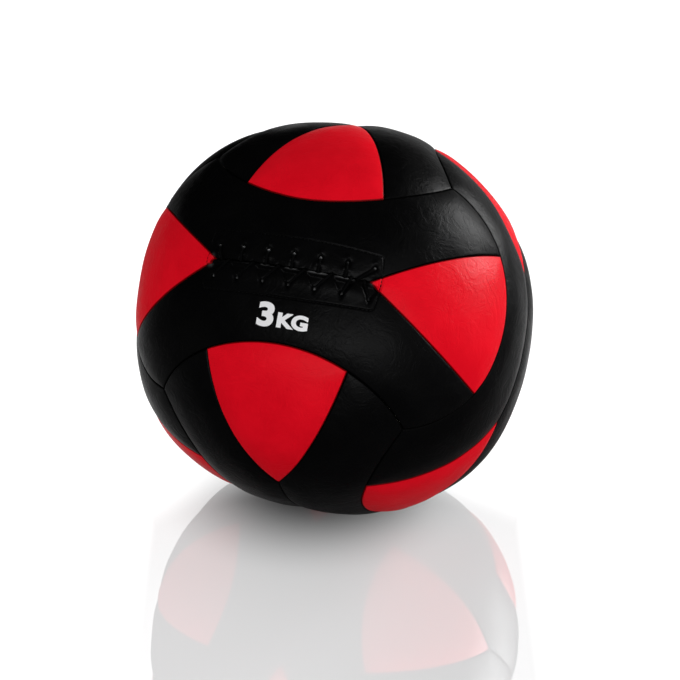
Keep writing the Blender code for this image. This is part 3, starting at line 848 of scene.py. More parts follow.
def red_insert(face_name, sign):
    face, insert_axis, panel_axis = FACES[face_name]
    side = sign * insert_axis

    def base(shares):
        along = SHORT_SHARE + np.asarray(shares) * INSERT_BASE_SHARE
        return long_seam(face, side, panel_axis, along)

    def tip(shares):
        return np.broadcast_to(insert_tip(face, side), (len(shares), 3))

    height = length_of(insert_side(face, side, panel_axis, EVEN_SHARES))
    deep = spread(height)
    if face_name == "front":
        deep = refined(deep, height, 1 - (FINE_HALF_LENGTH - SLIT_HALF) / height, 1)
    lefts, rights = (insert_side(face, side, way * panel_axis, deep) for way in (-1, 1))
    rows = Rows()
    for share, left, right in zip(deep, lefts, rights):
        width = float(np.linalg.norm(right - left)) * BALL_DIAMETER / 2
        across = spread(width) if width > 3 * EDGE_PLACES[0] else np.array([0.5])
        rows.add(panel_row(across, share, base, tip, left, right))
    name = f"{face_name}_{side_name(insert_axis, sign)}"
    sewn_in(rows, red_vinyl, "red_vinyl", "red_insert", name)


for face_name in FACES:
    for sign in (1, -1):
        red_insert(face_name, sign)

# The lace: one black braided cord. Each stretch comes up through a hole, lies on the vinyl and
# goes down between the lips of the slit; the rest runs behind the cover.
STRIP_EASE = 0.0011
STRIP_WALL = 0.001
STRIP_FRONT_DEPTH = 2 * VINYL_WALL + STRIP_EASE
LACE_INNER_DEPTH = STRIP_FRONT_DEPTH + STRIP_WALL + LACE_CLEARANCE + LACE_DIAMETER / 2
LACE_BEND_RADIUS = 0.0016
LACE_TAIL = 0.0055
LACE_LIE = LACE_DIAMETER / 2 - 0.0001
LACE_LIES_AT = np.array([0, 0.28, 0.5, 0.72, 0.9])
LACE_STEP = 0.00035
LACE_SIDES = 20
LACE_TIP_SHARE = 0.6
BEND_STEPS = 7
LEANING_UP = Z_AXIS + 0.1 * X_AXIS
BRAID_STRANDS = 8
BRAID_PITCH = 0.0062
BRAID_RELIEF_SHARE = 0.09
HOLE_DIAMETER = 0.0034
HOLE_SIDES = 24
LACE_BLACK = (0.0010, 0.0010, 0.0011, 1)
LACE_GLINT = (0.0020, 0.0020, 0.0021, 1)
# Painted glints where the cord bends out of each hole: their grey, reach, how far out their middle
# sits, and strength at each upper and lower hole
LACE_PAINTED_GLINT = (0.42, 0.42, 0.43, 1)
BEND_GLINT_REACH = 0.0012
BEND_GLINT_RISE = 0.0020
UPPER_GLINTS = (0.35, 0.65, 1.0, 0.7, 0.8, 0.12, 0.4)
LOWER_GLINTS = (0.40, 0.20, 0.20, 0.12, 0.40, 0.30, 0.15)


def laced_points(places):
    """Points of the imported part's frame from places: x, z and depth below the stuffed surface."""
    x, z, depth = np.array(places, float).T
    return place(laced_direction(x, z), depth)


def surface_depths(x, z):
    return cover_depths(laced_direction(x, z))[0]


def lengths_along(line):
    return np.concatenate([[0], np.linalg.norm(np.diff(line, axis=0), axis=1).cumsum()])


def span_over_cover(span):
    """The corners of one stretch of cord, from below its hole to below the slit."""
    (start_x, start_z), (end_x, end_z) = span
    x = start_x + LACE_LIES_AT * (end_x - start_x)
    z = start_z + LACE_LIES_AT * (end_z - start_z)
    lie = surface_depths(x, z) - LACE_LIE
    lie[0] = lie[1] + LACE_BEND_RADIUS / 2
    into_slit = (end_x, end_z, lie[-1] + LACE_BEND_RADIUS / 2)
    below = (start_x, start_z, LACE_INNER_DEPTH), (end_x, end_z, LACE_INNER_DEPTH)
    return [below[0], *zip(x, z, lie), into_slit, below[1]]


def rounded(points, bend, step):
    """A smooth line past these points at even steps, its corners rounded."""
    line = [points[0]]
    for before, corner, after in zip(points, points[1:], points[2:]):
        reach = min(bend, np.linalg.norm(before - corner) / 2, np.linalg.norm(after - corner) / 2)
        start, end = corner + unit(before - corner) * reach, corner + unit(after - corner) * reach
        for to in np.linspace(0, 1, BEND_STEPS):
            line.append((1 - to) ** 2 * start + 2 * to * (1 - to) * corner + to**2 * end)
    line = np.array(line + [points[-1]])
    along = lengths_along(line)
    even = np.linspace(0, along[-1], round(along[-1] / step))
    return np.stack([np.interp(even, along, line[:, axis]) for axis in range(3)], axis=1)


def tube_faces(ring_count, sides, first=0, closed=False, capped=True):
    """The faces between rings of points. In a closed tube the last ring meets the first."""
    faces = []
    for ring in range(ring_count if closed else ring_count - 1):
        near, far = first + ring * sides, first + (ring + 1) % ring_count * sides
        for side in range(sides):
            turn = (side + 1) % sides
            faces.append((near + side, near + turn, far + turn, far + side))
    if capped and not closed:
        last = first + (ring_count - 1) * sides
        faces += [tuple(range(first, first + sides)), tuple(range(last, last + sides))]
    return faces


def corners_of(verts):
    return np.array([vert.co for vert in verts])


def full_turn(steps):
    return np.linspace(0, math.tau, steps, endpoint=False)


def braided_cord(name, line, diameter, closed=False):
    """A braided cord along an evenly stepped line: strands that go over and under each other."""
    ahead = unit(np.roll(line, -1, axis=0) - np.roll(line, 1, axis=0))
    if not closed:
        ahead[0], ahead[-1] = unit(line[1] - line[0]), unit(line[-1] - line[-2])
    across = [unit(np.cross(ahead[0], LEANING_UP))]
    for direction in ahead[1:]:
        across.append(unit(across[-1] - (across[-1] @ direction) * direction))
    across = np.array(across)[:, None]
    beyond = np.cross(ahead, across[:, 0])[:, None]
    around = full_turn(LACE_SIDES)
    along = np.arange(len(line))[:, None] * LACE_STEP * math.tau / BRAID_PITCH
    strands = BRAID_STRANDS / 2 * around[None]
    weave = np.maximum(np.abs(np.sin(strands + along)), np.abs(np.sin(strands - along)))
    size = diameter / 2 * (1 + BRAID_RELIEF_SHARE * (weave - 1))
    if not closed:
        size[[0, -1]] *= LACE_TIP_SHARE
    around = np.cos(around)[:, None] * across + np.sin(around)[:, None] * beyond
    rings = line[:, None] + size[..., None] * around
    faces = tube_faces(len(line), LACE_SIDES, closed=closed)
    return shown(name, closed_mesh(name, rings.reshape(-1, 3), faces))


braid = Finish("braided lace", Specular_IOR_Level=0.007)
strands = braid.between(braid.spots(900, 3, 0.6), 0.35, 0.75)
# Painted glints at the cord's bends lighten its colour
painted_highlight = braid.kept("painted_highlight") * braid.between(braid.spots(1300), 0.3, 0.6, 0.45, 1)
plain = braid.blend(strands, LACE_BLACK, LACE_GLINT)
braid.painted(braid.blend(painted_highlight, plain, LACE_PAINTED_GLINT), strands * 0.15 + 0.75)
braid.bumped(braid.spots(4200), 0.00005)

route = [corner for span in spans for corner in span_over_cover(span)]
(first_x, first_z, _), (last_x, last_z, _) = route[0], route[-1]
route.insert(0, (first_x - LACE_TAIL, first_z, LACE_INNER_DEPTH))
route.append((last_x + LACE_TAIL, last_z, LACE_INNER_DEPTH))
lace_line = rounded(laced_points(route), LACE_BEND_RADIUS, LACE_STEP)
lace = carried(braided_cord("lace", lace_line, LACE_DIAMETER), braid.material, "lace_cord")

# A painted glint: the cord's outside is painted light grey where it bends out of each hole
corners = corners_of(lace.data.vertices)
painted_glint = np.zeros(len(corners))
for ((hole_x, row), _), share in zip(spans, np.ravel(list(zip(UPPER_GLINTS, LOWER_GLINTS)))):
    z = row + np.sign(row) * LACE_DIAMETER / 4
    surface = surface_depths(np.array([hole_x]), np.array([z]))[0]
    (bend,) = laced_points([(hole_x, z, surface - BEND_GLINT_RISE)])
    away = np.linalg.norm(corners - bend, axis=1)
    painted_glint = np.maximum(painted_glint, share * bell(away, BEND_GLINT_REACH))
keep(lace.data, "painted_highlight", painted_glint)


def final_mesh(made):
    """An object's mesh with its modifiers, or a word's with its faces."""
    evaluated = made.evaluated_get(bpy.context.evaluated_depsgraph_get())
    return bpy.data.meshes.new_from_object(evaluated)


def drilled(piece, places):
    """Punches lace holes through a piece."""
    bm = bmesh.new()
    for x, z in places:
        direction = laced_direction(x, z)
        middle = place(direction, STRIP_FRONT_DEPTH)
        turn = Vector(TO_ROW @ direction).to_track_quat("Z", "Y").to_matrix().to_4x4()
        bmesh.ops.create_cone(
            bm, cap_ends=True, segments=HOLE_SIDES, depth=4 * LACE_INNER_DEPTH,
            radius1=HOLE_DIAMETER / 2, radius2=HOLE_DIAMETER / 2,
            matrix=Matrix.Translation(Vector(middle)) @ turn,
        )
    punch = linked("punch", bpy.data.meshes.new("punch"))
    bm.to_mesh(punch.data)
    bm.free()
    cut = piece.modifiers.new("holes", "BOOLEAN")
    cut.operation, cut.solver, cut.object = "DIFFERENCE", "EXACT", punch
    punched = final_mesh(piece)
    piece.modifiers.clear()
    piece.data = punched
    bpy.data.objects.remove(punch)


hole_rows = {
    "upper": [hole for hole, _ in spans if hole[1] > 0],
    "lower": [hole for hole, _ in spans if hole[1] < 0],
}
for row_name, places in hole_rows.items():
    drilled(black_pieces[f"black_vinyl_front_{row_name}"], places)

# The stitching: black thread sewn through the cover and the strips behind it, in one line of
# short lockstitches round the laced patch, each sunk at both ends.
STITCH_LENGTH = 0.0031
STITCH_GAP = 0.0002
THREAD_DIAMETER = 0.00090
THREAD_SINK = 0.00030
THREAD_SIDES = 6
THREAD_SIZES = (0.5, 0.9, 1, 1, 1, 0.9, 0.5)
CORNER_STEPS, STEPS_BETWEEN = 9, 40
THREAD_BLACK = (0.0007, 0.0007, 0.0007, 1)


def patch_outline():
    """Places close together round the stitched outline."""
    corner_x, corner_z = PATCH_HALF_LENGTH - PATCH_CORNER, PATCH_HALF_WIDTH - PATCH_CORNER
    line = []
    for quarter, (sign_x, sign_z) in enumerate(((1, 1), (-1, 1), (-1, -1), (1, -1))):
        for turn in np.linspace(quarter * math.pi / 2, (quarter + 1) * math.pi / 2, CORNER_STEPS):
            line.append((
                sign_x * corner_x + PATCH_CORNER * math.cos(turn),
                sign_z * corner_z + PATCH_CORNER * math.sin(turn),
            ))
    line = np.array(line + [line[0]])
    steps = np.linspace(0, len(line) - 1, STEPS_BETWEEN * len(line))
    x, z = (np.interp(steps, np.arange(len(line)), line[:, axis]) for axis in (0, 1))
    x = x - np.sign(x) * PATCH_BOW * (z / PATCH_HALF_WIDTH) ** 2
    return np.stack([x, z * narrowed(x)], axis=1)


def stitches(name, outline):
    along = lengths_along(outline)
    count = round(along[-1] / (STITCH_LENGTH + STITCH_GAP))
    turns = full_turn(THREAD_SIDES)[:, None]
    shares = np.linspace(0, 1, len(THREAD_SIZES))
    sink = THREAD_SINK * (2 * np.linspace(-1, 1, len(THREAD_SIZES)) ** 4 - 0.6)
    points, faces = [], []
    for number in range(count):
        places = number * along[-1] / count + STITCH_LENGTH * shares
        x, z = (np.interp(places, along, outline[:, axis]) for axis in (0, 1))
        directions = laced_direction(x, z)
        line = place(directions, cover_depths(directions)[0] + sink)
        up = directions[len(line) // 2] @ TO_ROW.T
        side = unit(np.cross(unit(line[-1] - line[0]), up))
        faces += tube_faces(len(line), THREAD_SIDES, first=len(points))
        for point, size in zip(line, THREAD_SIZES):
            around = np.cos(turns) * side + np.sin(turns) * up
            points.extend(point + THREAD_DIAMETER / 2 * size * around)
    return shown(name, closed_mesh(name, np.array(points), faces))


thread = Finish("black thread", Specular_IOR_Level=0.02)
thread.painted(
    thread.blend(thread.spots(2500), THREAD_BLACK, LACE_GLINT), thread.spots(1500) * 0.2 + 0.45
)
carried(stitches("strip_stitching", patch_outline()), thread.material)

# The strips: two lengths of black vinyl, sewn inside the cover behind the rows of holes to take
# the lace's pull. They are trimmed clear of the inserts' seams and punched with the cover.
STRIP_LENGTH = 0.154
STRIP_WIDTH = 0.0258
STRIP_SEAM_MARGIN = 0.009
STRIP_COLUMNS, STRIP_ROWS = 140, 24
SEAM_STEPS = 160


def strip_end(z):
    """How far a strip reaches at this height, clear of the insert's seam."""
    seam = insert_side(LACED_FACE, X_AXIS, Z_AXIS, np.linspace(1, 0, SEAM_STEPS)) * FACE_RADIUS
    slope = math.atan2(np.interp(STRIP_WIDTH, seam[:, 2], seam[:, 0]) - seam[0, 0], STRIP_WIDTH)
    clear = (STRIP_SEAM_MARGIN + SEAM_GAP) / math.cos(slope)
    return min(STRIP_LENGTH / 2, np.interp(z, seam[:, 2], seam[:, 0]) - clear)


def strip_depths(directions):
    gap, _, any_gap = seam_gaps(directions)
    front = drawn_in(gap) + doubled_wall(any_gap) + STRIP_EASE
    return front, front + STRIP_WALL, any_gap


for row_name, places in hole_rows.items():
    sign = 1 if row_name == "upper" else -1
    rows = Rows()
    for z in np.linspace(SEAM_GAP / 2, STRIP_WIDTH, STRIP_ROWS):
        x = np.linspace(-1, 1, STRIP_COLUMNS) * strip_end(z)
        rows.add(laced_direction(x, np.full(STRIP_COLUMNS, sign * z)))
    strip = skin("backing_strip_" + row_name, rows, strip_depths)
    carried(strip, black_vinyl, "lacing_strip_" + row_name)
    drilled(strip, places + [down for _, down in spans])

# The tongue: a flap of black vinyl with rounded corners, behind the strips, that keeps the
# filling off the lace.
TONGUE_LENGTH = 0.166
TONGUE_WIDTH = 0.060
TONGUE_CORNER = 0.012
TONGUE_WALL = 0.0012
TONGUE_EASE = 0.0006
TONGUE_COLUMNS, TONGUE_ROWS = 100, 38
TONGUE_FRONT_DEPTH = LACE_INNER_DEPTH + LACE_DIAMETER / 2 + LACE_CLEARANCE + TONGUE_EASE
TONGUE_WAVE_SHARE = 0.2
FAR_FROM_SEAMS = 0.012


def tongue_depths(directions):
    front = TONGUE_FRONT_DEPTH - TONGUE_WAVE_SHARE * soft_waves(directions)
    return front, front + TONGUE_WALL, FAR_FROM_SEAMS


rows = Rows()
for z in TONGUE_WIDTH / 2 * np.sin(np.linspace(-1, 1, TONGUE_ROWS) * math.pi / 2):
    into_corner = max(abs(z) - TONGUE_WIDTH / 2 + TONGUE_CORNER, 0)
    end = TONGUE_LENGTH / 2 - TONGUE_CORNER + math.sqrt(TONGUE_CORNER**2 - into_corner**2)
    rows.add(laced_direction(np.linspace(-end, end, TONGUE_COLUMNS), np.full(TONGUE_COLUMNS, z)))
carried(skin("tongue", rows, tongue_depths), black_vinyl, "lacing_tongue")

# The lining: a bag of plain-woven cotton between cover and filling, with a long mouth behind
# the slit, through which the ball is stuffed.
LINING_WALL = 0.0012
LINING_EASE = 0.0008
MOUTH_LENGTH = 0.100
MOUTH_WIDTH = 0.034
MOUTH_SQUARENESS = 4
MOUTH_GATHERS = 46
MOUTH_GATHER_DEPTH, MOUTH_GATHER_REACH = 0.0006, 0.016
LINING_SIDES, LINING_RINGS = 150, 88
LINING_END = math.radians(179.5)
LINING_DEPTH = PILLOW_DEPTH + 2 * VINYL_WALL + LINING_EASE
LINING_DIP = TONGUE_FRONT_DEPTH + TONGUE_WALL + LINING_EASE - LINING_DEPTH
CANVAS, CANVAS_SHADE = (0.36, 0.33, 0.28, 1), (0.17, 0.155, 0.13, 1)
COTTON_SCALE = 420


def woven_cloth(name, thread_colour, shade_colour, scale):
    """Plain weave: bands of thread both ways, a little uneven."""
    finish = Finish(name, Specular_IOR_Level=0.08)
    bands = {"Vector": finish.place(), "Scale": scale, "Distortion": 0.8, "Detail": 1}
    warp, weft = (
        finish.node("ShaderNodeTexWave", {"bands_direction": way}, bands, "Fac") for way in "XZ"
    )
    weave = warp * 0.5 + weft * 0.5
    soiled = finish.spots(30, 4, 0.6)
    colour = finish.blend(weave * 0.7 + soiled * 0.3, shade_colour, thread_colour)
    finish.painted(colour, soiled * 0.15 + 0.8)
    finish.bumped(weave, 0.0002)
    return finish.material


def circle(turns):
    """Directions square to the laced face's axis."""
    return np.cos(turns)[:, None] * X_AXIS + np.sin(turns)[:, None] * Z_AXIS


def round_rings(rows, start_away, end_away, ring_count, sides):
    """Adds rings of directions round the laced face's axis, each at a turn away from it."""
    turns = full_turn(sides)
    around = circle(turns)
    for share in np.linspace(0, 1, ring_count):
        away = ((1 - share) * start_away(turns) + share * end_away)[:, None]
        rows.add(unit(np.cos(away) * LACED_FACE + np.sin(away) * around), ring=True)


def mouth_edge(turns):
    """How far away from the laced face's axis the lining's mouth is, each way round."""
    along = np.abs(np.cos(turns)) / (MOUTH_LENGTH / 2)
    across = np.abs(np.sin(turns)) / (MOUTH_WIDTH / 2)
    away = (along**MOUTH_SQUARENESS + across**MOUTH_SQUARENESS) ** (-1 / MOUTH_SQUARENESS)
    return away / FACE_RADIUS


def lining_depths(directions):
    """The lining lies close behind the cover, and deeper behind the tongue."""
    away = turned_from(LACED_FACE, directions)
    near = smooth(2 - away * BALL_DIAMETER / TONGUE_LENGTH)
    turns = np.arctan2(directions[:, 2], directions[:, 0])
    gathered = np.exp(-(away - mouth_edge(turns)) * FACE_RADIUS / MOUTH_GATHER_REACH)
    folds = MOUTH_GATHER_DEPTH * (1 - np.cos(MOUTH_GATHERS * turns)) * np.minimum(gathered, 1)
    outside = LINING_DEPTH + LINING_DIP * near + folds - (1 - near) * soft_waves(directions)
    return outside, outside + LINING_WALL, FAR_FROM_SEAMS


cotton = woven_cloth("cotton lining", CANVAS, CANVAS_SHADE, COTTON_SCALE)
rows = Rows()
round_rings(rows, mouth_edge, LINING_END, LINING_RINGS, LINING_SIDES)
rows.add(-LACED_FACE[None], ring=True)
carried(skin("lining", rows, lining_depths, LINING_DEPTH), cotton, "lining_bag")

# The weight: dry sand in a canvas bag that is gathered at its neck and tied with cord. It sits in
# the middle of the ball and brings it up to its marked weight.
SAND_DIAMETER = 0.108
INNER_GAP = 0.0003
BAG_WALL = 0.0012
NECK_DIAMETER = 0.030
NECK_LENGTH = 0.020
TIE_DIAMETER = 0.004
TIE_INSET = 0.010
NECK_EASE = 0.002
GATHERS = 22
GATHER_DEPTH = 0.0011
GATHER_START_SHARE = 0.35
GRAIN_RELIEF, GRAIN_LUMP = 0.0004, 0.004
GRAIN_LUMPS_AROUND = 9
SAND_NECK_RISE = 0.1
TURNED_SIDES, GLOBE_RINGS, NECK_RINGS = 132, 60, 14
CANVAS_SCALE = 300
SAND_COLOUR, SAND_SHADE = (0.46, 0.36, 0.24, 1), (0.26, 0.19, 0.12, 1)
BAG_INNER = SAND_DIAMETER / 2 + INNER_GAP
BAG_OUTER = BAG_INNER + BAG_WALL
NECK_END = BAG_OUTER + NECK_LENGTH


def globe_outline(globe_radius, neck_radius):
    """The outline of a globe from its far pole to the foot of its neck, as (out, radius)."""
    turns = np.linspace(math.pi, math.asin(neck_radius / globe_radius), GLOBE_RINGS)
    return list(zip(np.cos(turns) * globe_radius, np.sin(turns) * globe_radius))[1:]


def turned_piece(name, outline, relief):
    """A closed form turned about the laced face's axis; its outline's ends close on the axis."""
    out, size = np.array(outline).T
    turns = full_turn(TURNED_SIDES)
    reach = size[:, None] - relief(out[:, None], turns[None])
    rings = out[:, None, None] * LACED_FACE + reach[..., None] * circle(turns)
    points = np.concatenate([rings.reshape(-1, 3), out[[0, -1]][:, None] * LACED_FACE])
    faces = tube_faces(len(out), TURNED_SIDES, capped=False)
    for ring, pole in ((0, len(points) - 2), (len(out) - 1, len(points) - 1)):
        for side in range(TURNED_SIDES):
            turn = (side + 1) % TURNED_SIDES
            faces.append((pole, ring * TURNED_SIDES + side, ring * TURNED_SIDES + turn))
    return shown(name, closed_mesh(name, on_row(points), faces))


def gathers(out, turns):
    start = GATHER_START_SHARE * BAG_OUTER
    drawn = smooth((out - start) / (BAG_OUTER - start))
    return GATHER_DEPTH / 2 * drawn * (1 + np.cos(GATHERS * turns))


def grains(out, turns):
    around = GRAIN_LUMPS_AROUND * np.stack([np.cos(turns[0]), np.sin(turns[0])], axis=1)
    return GRAIN_RELIEF * np.array([
        [abs(noise.noise(Vector((at / GRAIN_LUMP, *turn)))) for turn in around] for at in out[:, 0]
    ])


neck_steps = np.linspace(0, 1, NECK_RINGS)[1:]
neck_out = NECK_DIAMETER / 2
neck_in = neck_out - BAG_WALL
bag_outside, bag_inside = globe_outline(BAG_OUTER, neck_out), globe_outline(BAG_INNER, neck_in)
for outline, size in ((bag_outside, neck_out), (bag_inside, neck_in)):
    foot = outline[-1][0]
    outline.extend((foot + step * (NECK_END - foot), size) for step in neck_steps)
canvas = woven_cloth("bag canvas", CANVAS, CANVAS_SHADE, CANVAS_SCALE)
bag = turned_piece("sand_bag", bag_outside + bag_inside[::-1], gathers)
carried(bag, canvas, "weight_bag")

sand_outline = globe_outline(SAND_DIAMETER / 2, neck_out)
top, rise = sand_outline[-1][0], SAND_NECK_RISE * neck_out
sand_outline.extend((top + rise * step, neck_out * (1 - step)) for step in neck_steps[:-1])
sand = Finish("dry sand", Specular_IOR_Level=0.15)
grain_mix = sand.between(sand.spots(1500, 3, 0.7), 0.3, 0.7)
sand.painted(sand.blend(grain_mix, SAND_SHADE, SAND_COLOUR), grain_mix * 0.1 + 0.88)
sand.bumped(sand.cells(1400), GRAIN_RELIEF)
carried(turned_piece("sand", sand_outline, grains), sand.material, "sand_fill")

tie_ring = NECK_DIAMETER / 2 + INNER_GAP + TIE_DIAMETER / 2
tie_steps = round(round(math.tau * tie_ring / BRAID_PITCH) * BRAID_PITCH / LACE_STEP)
tie_circle = tie_ring * circle(full_turn(tie_steps))
tie_line = on_row((BAG_OUTER + TIE_INSET) * LACED_FACE + tie_circle)
tie = braided_cord("neck_tie", tie_line, TIE_DIAMETER, closed=True)
carried(tie, braid.material, "weight_bag_tie")

# The wadding: textile waste packed by hand round the weight, a front and a back half, clumpy
# where it was pushed in, with a hollow for the bag and its neck.
WADDING_CLUMPS = ((0.024, 0.0011), (0.009, 0.0004))
WADDING_SIDES, WADDING_RINGS = 150, 70
HALF_TURN_EASE = 0.0027
LEAST_LEAN = 0.01
FIBRE_COLOURS = (0.50, 0.49, 0.47, 1), (0.22, 0.23, 0.26, 1)


def clumps(directions):
    """How far the wadding's skin falls short, clump by clump."""
    return sum(height * abs(noises(directions, width)) for width, height in WADDING_CLUMPS)


def hollow_reach(directions):
    """How far out the hollow for the bag and its neck reaches."""
    away = turned_from(LACED_FACE, directions)
    neck = NECK_DIAMETER / 2 + 2 * INNER_GAP + TIE_DIAMETER + NECK_EASE
    to_end = (NECK_END + NECK_EASE) / np.maximum(np.cos(away), LEAST_LEAN)
    to_side = neck / np.maximum(np.sin(away), LEAST_LEAN)
    return np.maximum(BAG_OUTER + INNER_GAP, np.minimum(to_end, to_side) * (np.cos(away) > 0))


def wadding_depths(directions):
    short = clumps(directions)
    outside = lining_depths(directions)[1] + INNER_GAP + short
    inside = radius(directions) - hollow_reach(directions) - short
    return outside, inside, FAR_FROM_SEAMS


wadding = Finish("packed textile", Specular_IOR_Level=0.05)
tangle = wadding.between(abs(wadding.spots(190, 6, 0.7, 2.6) - 0.5), 0, 0.16)
scraps = wadding.between(wadding.spots(45, 3, 0.6, 1), 0.4, 0.7)
wadding.painted(
    wadding.blend(tangle * 0.7 + scraps * 0.3, *FIBRE_COLOURS), tangle * 0.1 + 0.88
)
wadding.bumped(tangle, 0.0006)

# Each half runs from its own pole to just short of the ball's middle
for side, pole, pole_turn, way in (("front", LACED_FACE, 0, 1), ("back", -LACED_FACE, math.pi, -1)):
    rows = Rows()
    rows.add(pole[None])
    first = np.full(WADDING_SIDES, pole_turn + way * math.pi / 2 / WADDING_RINGS)
    last = math.pi / 2 - way * HALF_TURN_EASE
    round_rings(rows, lambda turns: first, last, WADDING_RINGS, WADDING_SIDES)
    half = skin("packing_" + side, rows, wadding_depths, LINING_DEPTH + LINING_WALL)
    carried(half, wadding.material, "wadding_" + side)

# The weight mark: white screen ink on the lower black panel, a large 3 and a smaller KG in a
# heavy plain face, set along the slit.
INK_FILM = 0.00012
INK_WHITE = (0.71, 0.71, 0.72, 1)
INK_WORN = (0.55, 0.55, 0.56, 1)
INK_STRIP = 0.0016
SAME_PLACE = 1e-6
# Each word's text, left, base, height, stretch and weight
MARK_TEXTS = (
    ("3", -0.0187, -0.0507, 0.0200, 1.24, 0.040),
    ("KG", -0.0016, -0.0499, 0.0124, 1.235, 0.052),
)


def text_outline(body, weight):
    """The flat mesh of a word in Blender's own plain face, emboldened."""
    curve = bpy.data.curves.new("word", "FONT")
    curve.body, curve.size, curve.offset = body, 1, weight
    word = linked("word", curve)
    mesh = final_mesh(word)
    bpy.data.objects.remove(word)
    return mesh


def printed_words(name, texts):
    """Words cut into narrow strips both ways, so that they bend with the cover, and inked."""
    whole = bmesh.new()
    for body, left, base, height, stretch, weight in texts:
        word = text_outline(body, weight)
        corners = corners_of(word.vertices)
        low, high = corners.min(axis=0), corners.max(axis=0)
        scale = height / (high[1] - low[1])
        for vert in word.vertices:
            x, y = (vert.co.x - low[0]) * scale * stretch, (vert.co.y - low[1]) * scale
            vert.co = x + left, y + base, 0
        whole.from_mesh(word)
    bmesh.ops.remove_doubles(whole, verts=whole.verts, dist=SAME_PLACE)
    corners = corners_of(whole.verts)
    for axis, normal in enumerate((X_AXIS, Y_AXIS)):
        low, high = corners[:, axis].min(), corners[:, axis].max()
        for at in np.arange(low + INK_STRIP, high, INK_STRIP):
            bmesh.ops.bisect_plane(
                whole, geom=whole.verts[:] + whole.edges[:] + whole.faces[:],
                plane_co=at * normal, plane_no=normal, dist=SAME_PLACE,
            )
    bmesh.ops.triangulate(whole, faces=whole.faces)
    grown = bmesh.ops.extrude_face_region(whole, geom=whole.faces[:])["geom"]
    back = {item for item in grown if isinstance(item, bmesh.types.BMVert)}
    verts = whole.verts[:]
    directions = laced_direction([vert.co.x for vert in verts], [vert.co.y for vert in verts])
    proud = np.array([-INK_FILM / 2 if vert in back else INK_FILM for vert in verts])
    for vert, point in zip(verts, place(directions, cover_depths(directions)[0] - proud)):
        vert.co = point
    bmesh.ops.recalc_face_normals(whole, faces=whole.faces)
    mesh = bpy.data.meshes.new(name)
    whole.to_mesh(mesh)
    whole.free()
    return shown(name, mesh)


ink = Finish("screen ink", Specular_IOR_Level=0.15)
worn_ink = ink.between(ink.spots(700, 4, 0.65), 0.60, 0.80)
ink.painted(ink.blend(worn_ink, INK_WHITE, INK_WORN), worn_ink * 0.2 + 0.5)
ink.bumped(ink.spots(1800), 0.00004)
carried(printed_words("weight_mark", MARK_TEXTS), ink.material)

# The floor: a white acrylic sheet, half mirror, which shows the ball upside down. It is lit to
# plain white for the lens, and keeps the ball's own shadow; close to the ball its glow also fades,
# a painted contact shadow.
FLOOR_SIZE = 60
FLOOR_MIRROR_SHARE = 0.29
FLOOR_COLOUR = (0.42, 0.42, 0.425, 1)
# The glow the lens sees rises from nothing at the ball to full: a painted contact shadow
GLOW_NEAR, GLOW_FULL = 0.028, 0.155
GLOW_RIGHTWARD = -0.022
# How far rightward each end of the glow lies, and its strength there: painted stronger on the left,
# where the lamps' shadow falls
GLOW_LEFT, GLOW_RIGHT = (-0.17, 0.68), (0.17, 0.51)
# Past the ball's own picture in the floor, in front and at its sides, the glow is stronger
FAR_GLOW = 0.50
FAR_GLOW_START, FAR_GLOW_FULL = 0.235, 0.300
FAR_GLOW_IN_FRONT = 0.25
FAR_GLOW_ASIDE_START, FAR_GLOW_ASIDE_FULL = 0.158, 0.176
# Pools of glow painted on the floor only for the ball's gloss, which show as painted reflections on
# its lower rims: rightward, forward, and the reach of full and none
WHITE_POOLS = ((-0.38, 0.14, 0.20, 0.41), (0.31, 0.31, 0.10, 0.31))
FAR_WHITE_START, FAR_WHITE_FULL, FAR_WHITE = 1.0, 2.5, 0.8

floor = linked("floor", bpy.data.meshes.new("floor"))
half = FLOOR_SIZE / 2
floor.data.from_pydata(
    [(-half, -half, 0), (half, -half, 0), (half, half, 0), (-half, half, 0)], [], [(0, 1, 2, 3)]
)
acrylic = Finish("white acrylic", Base_Color=FLOOR_COLOUR, Roughness=1.0, Specular_IOR_Level=0.0)
forward, rightward = row_direction(VIEW_AZIMUTH + 180, 0), row_direction(VIEW_AZIMUTH + 90, 0)


def on_floor(operation, vector):
    """How far a place on the floor is from a point, or how far it lies along a direction."""
    sockets = {0: acrylic.place(), 1: vector}
    return acrylic.node("ShaderNodeVectorMath", {"operation": operation}, sockets, "Value")


def glow_from(point, near, full, most=1):
    """Glow that rises with the distance from a point."""
    return acrylic.between(on_floor("DISTANCE", point), near, full, 0, most)


across = on_floor("DOT_PRODUCT", rightward)
(left_at, left_glow), (right_at, right_glow) = GLOW_LEFT, GLOW_RIGHT
seen_glow = glow_from(GLOW_RIGHTWARD * rightward, GLOW_NEAR, GLOW_FULL)
seen_glow = seen_glow * acrylic.between(across, left_at, right_at, left_glow, right_glow)
far_glow = glow_from(-FAR_GLOW_IN_FRONT * forward, FAR_GLOW_START, FAR_GLOW_FULL, FAR_GLOW)
aside = acrylic.between(abs(across), FAR_GLOW_ASIDE_START, FAR_GLOW_ASIDE_FULL, 0, FAR_GLOW)
seen_glow = seen_glow + acrylic.maths("MAXIMUM", far_glow, aside)
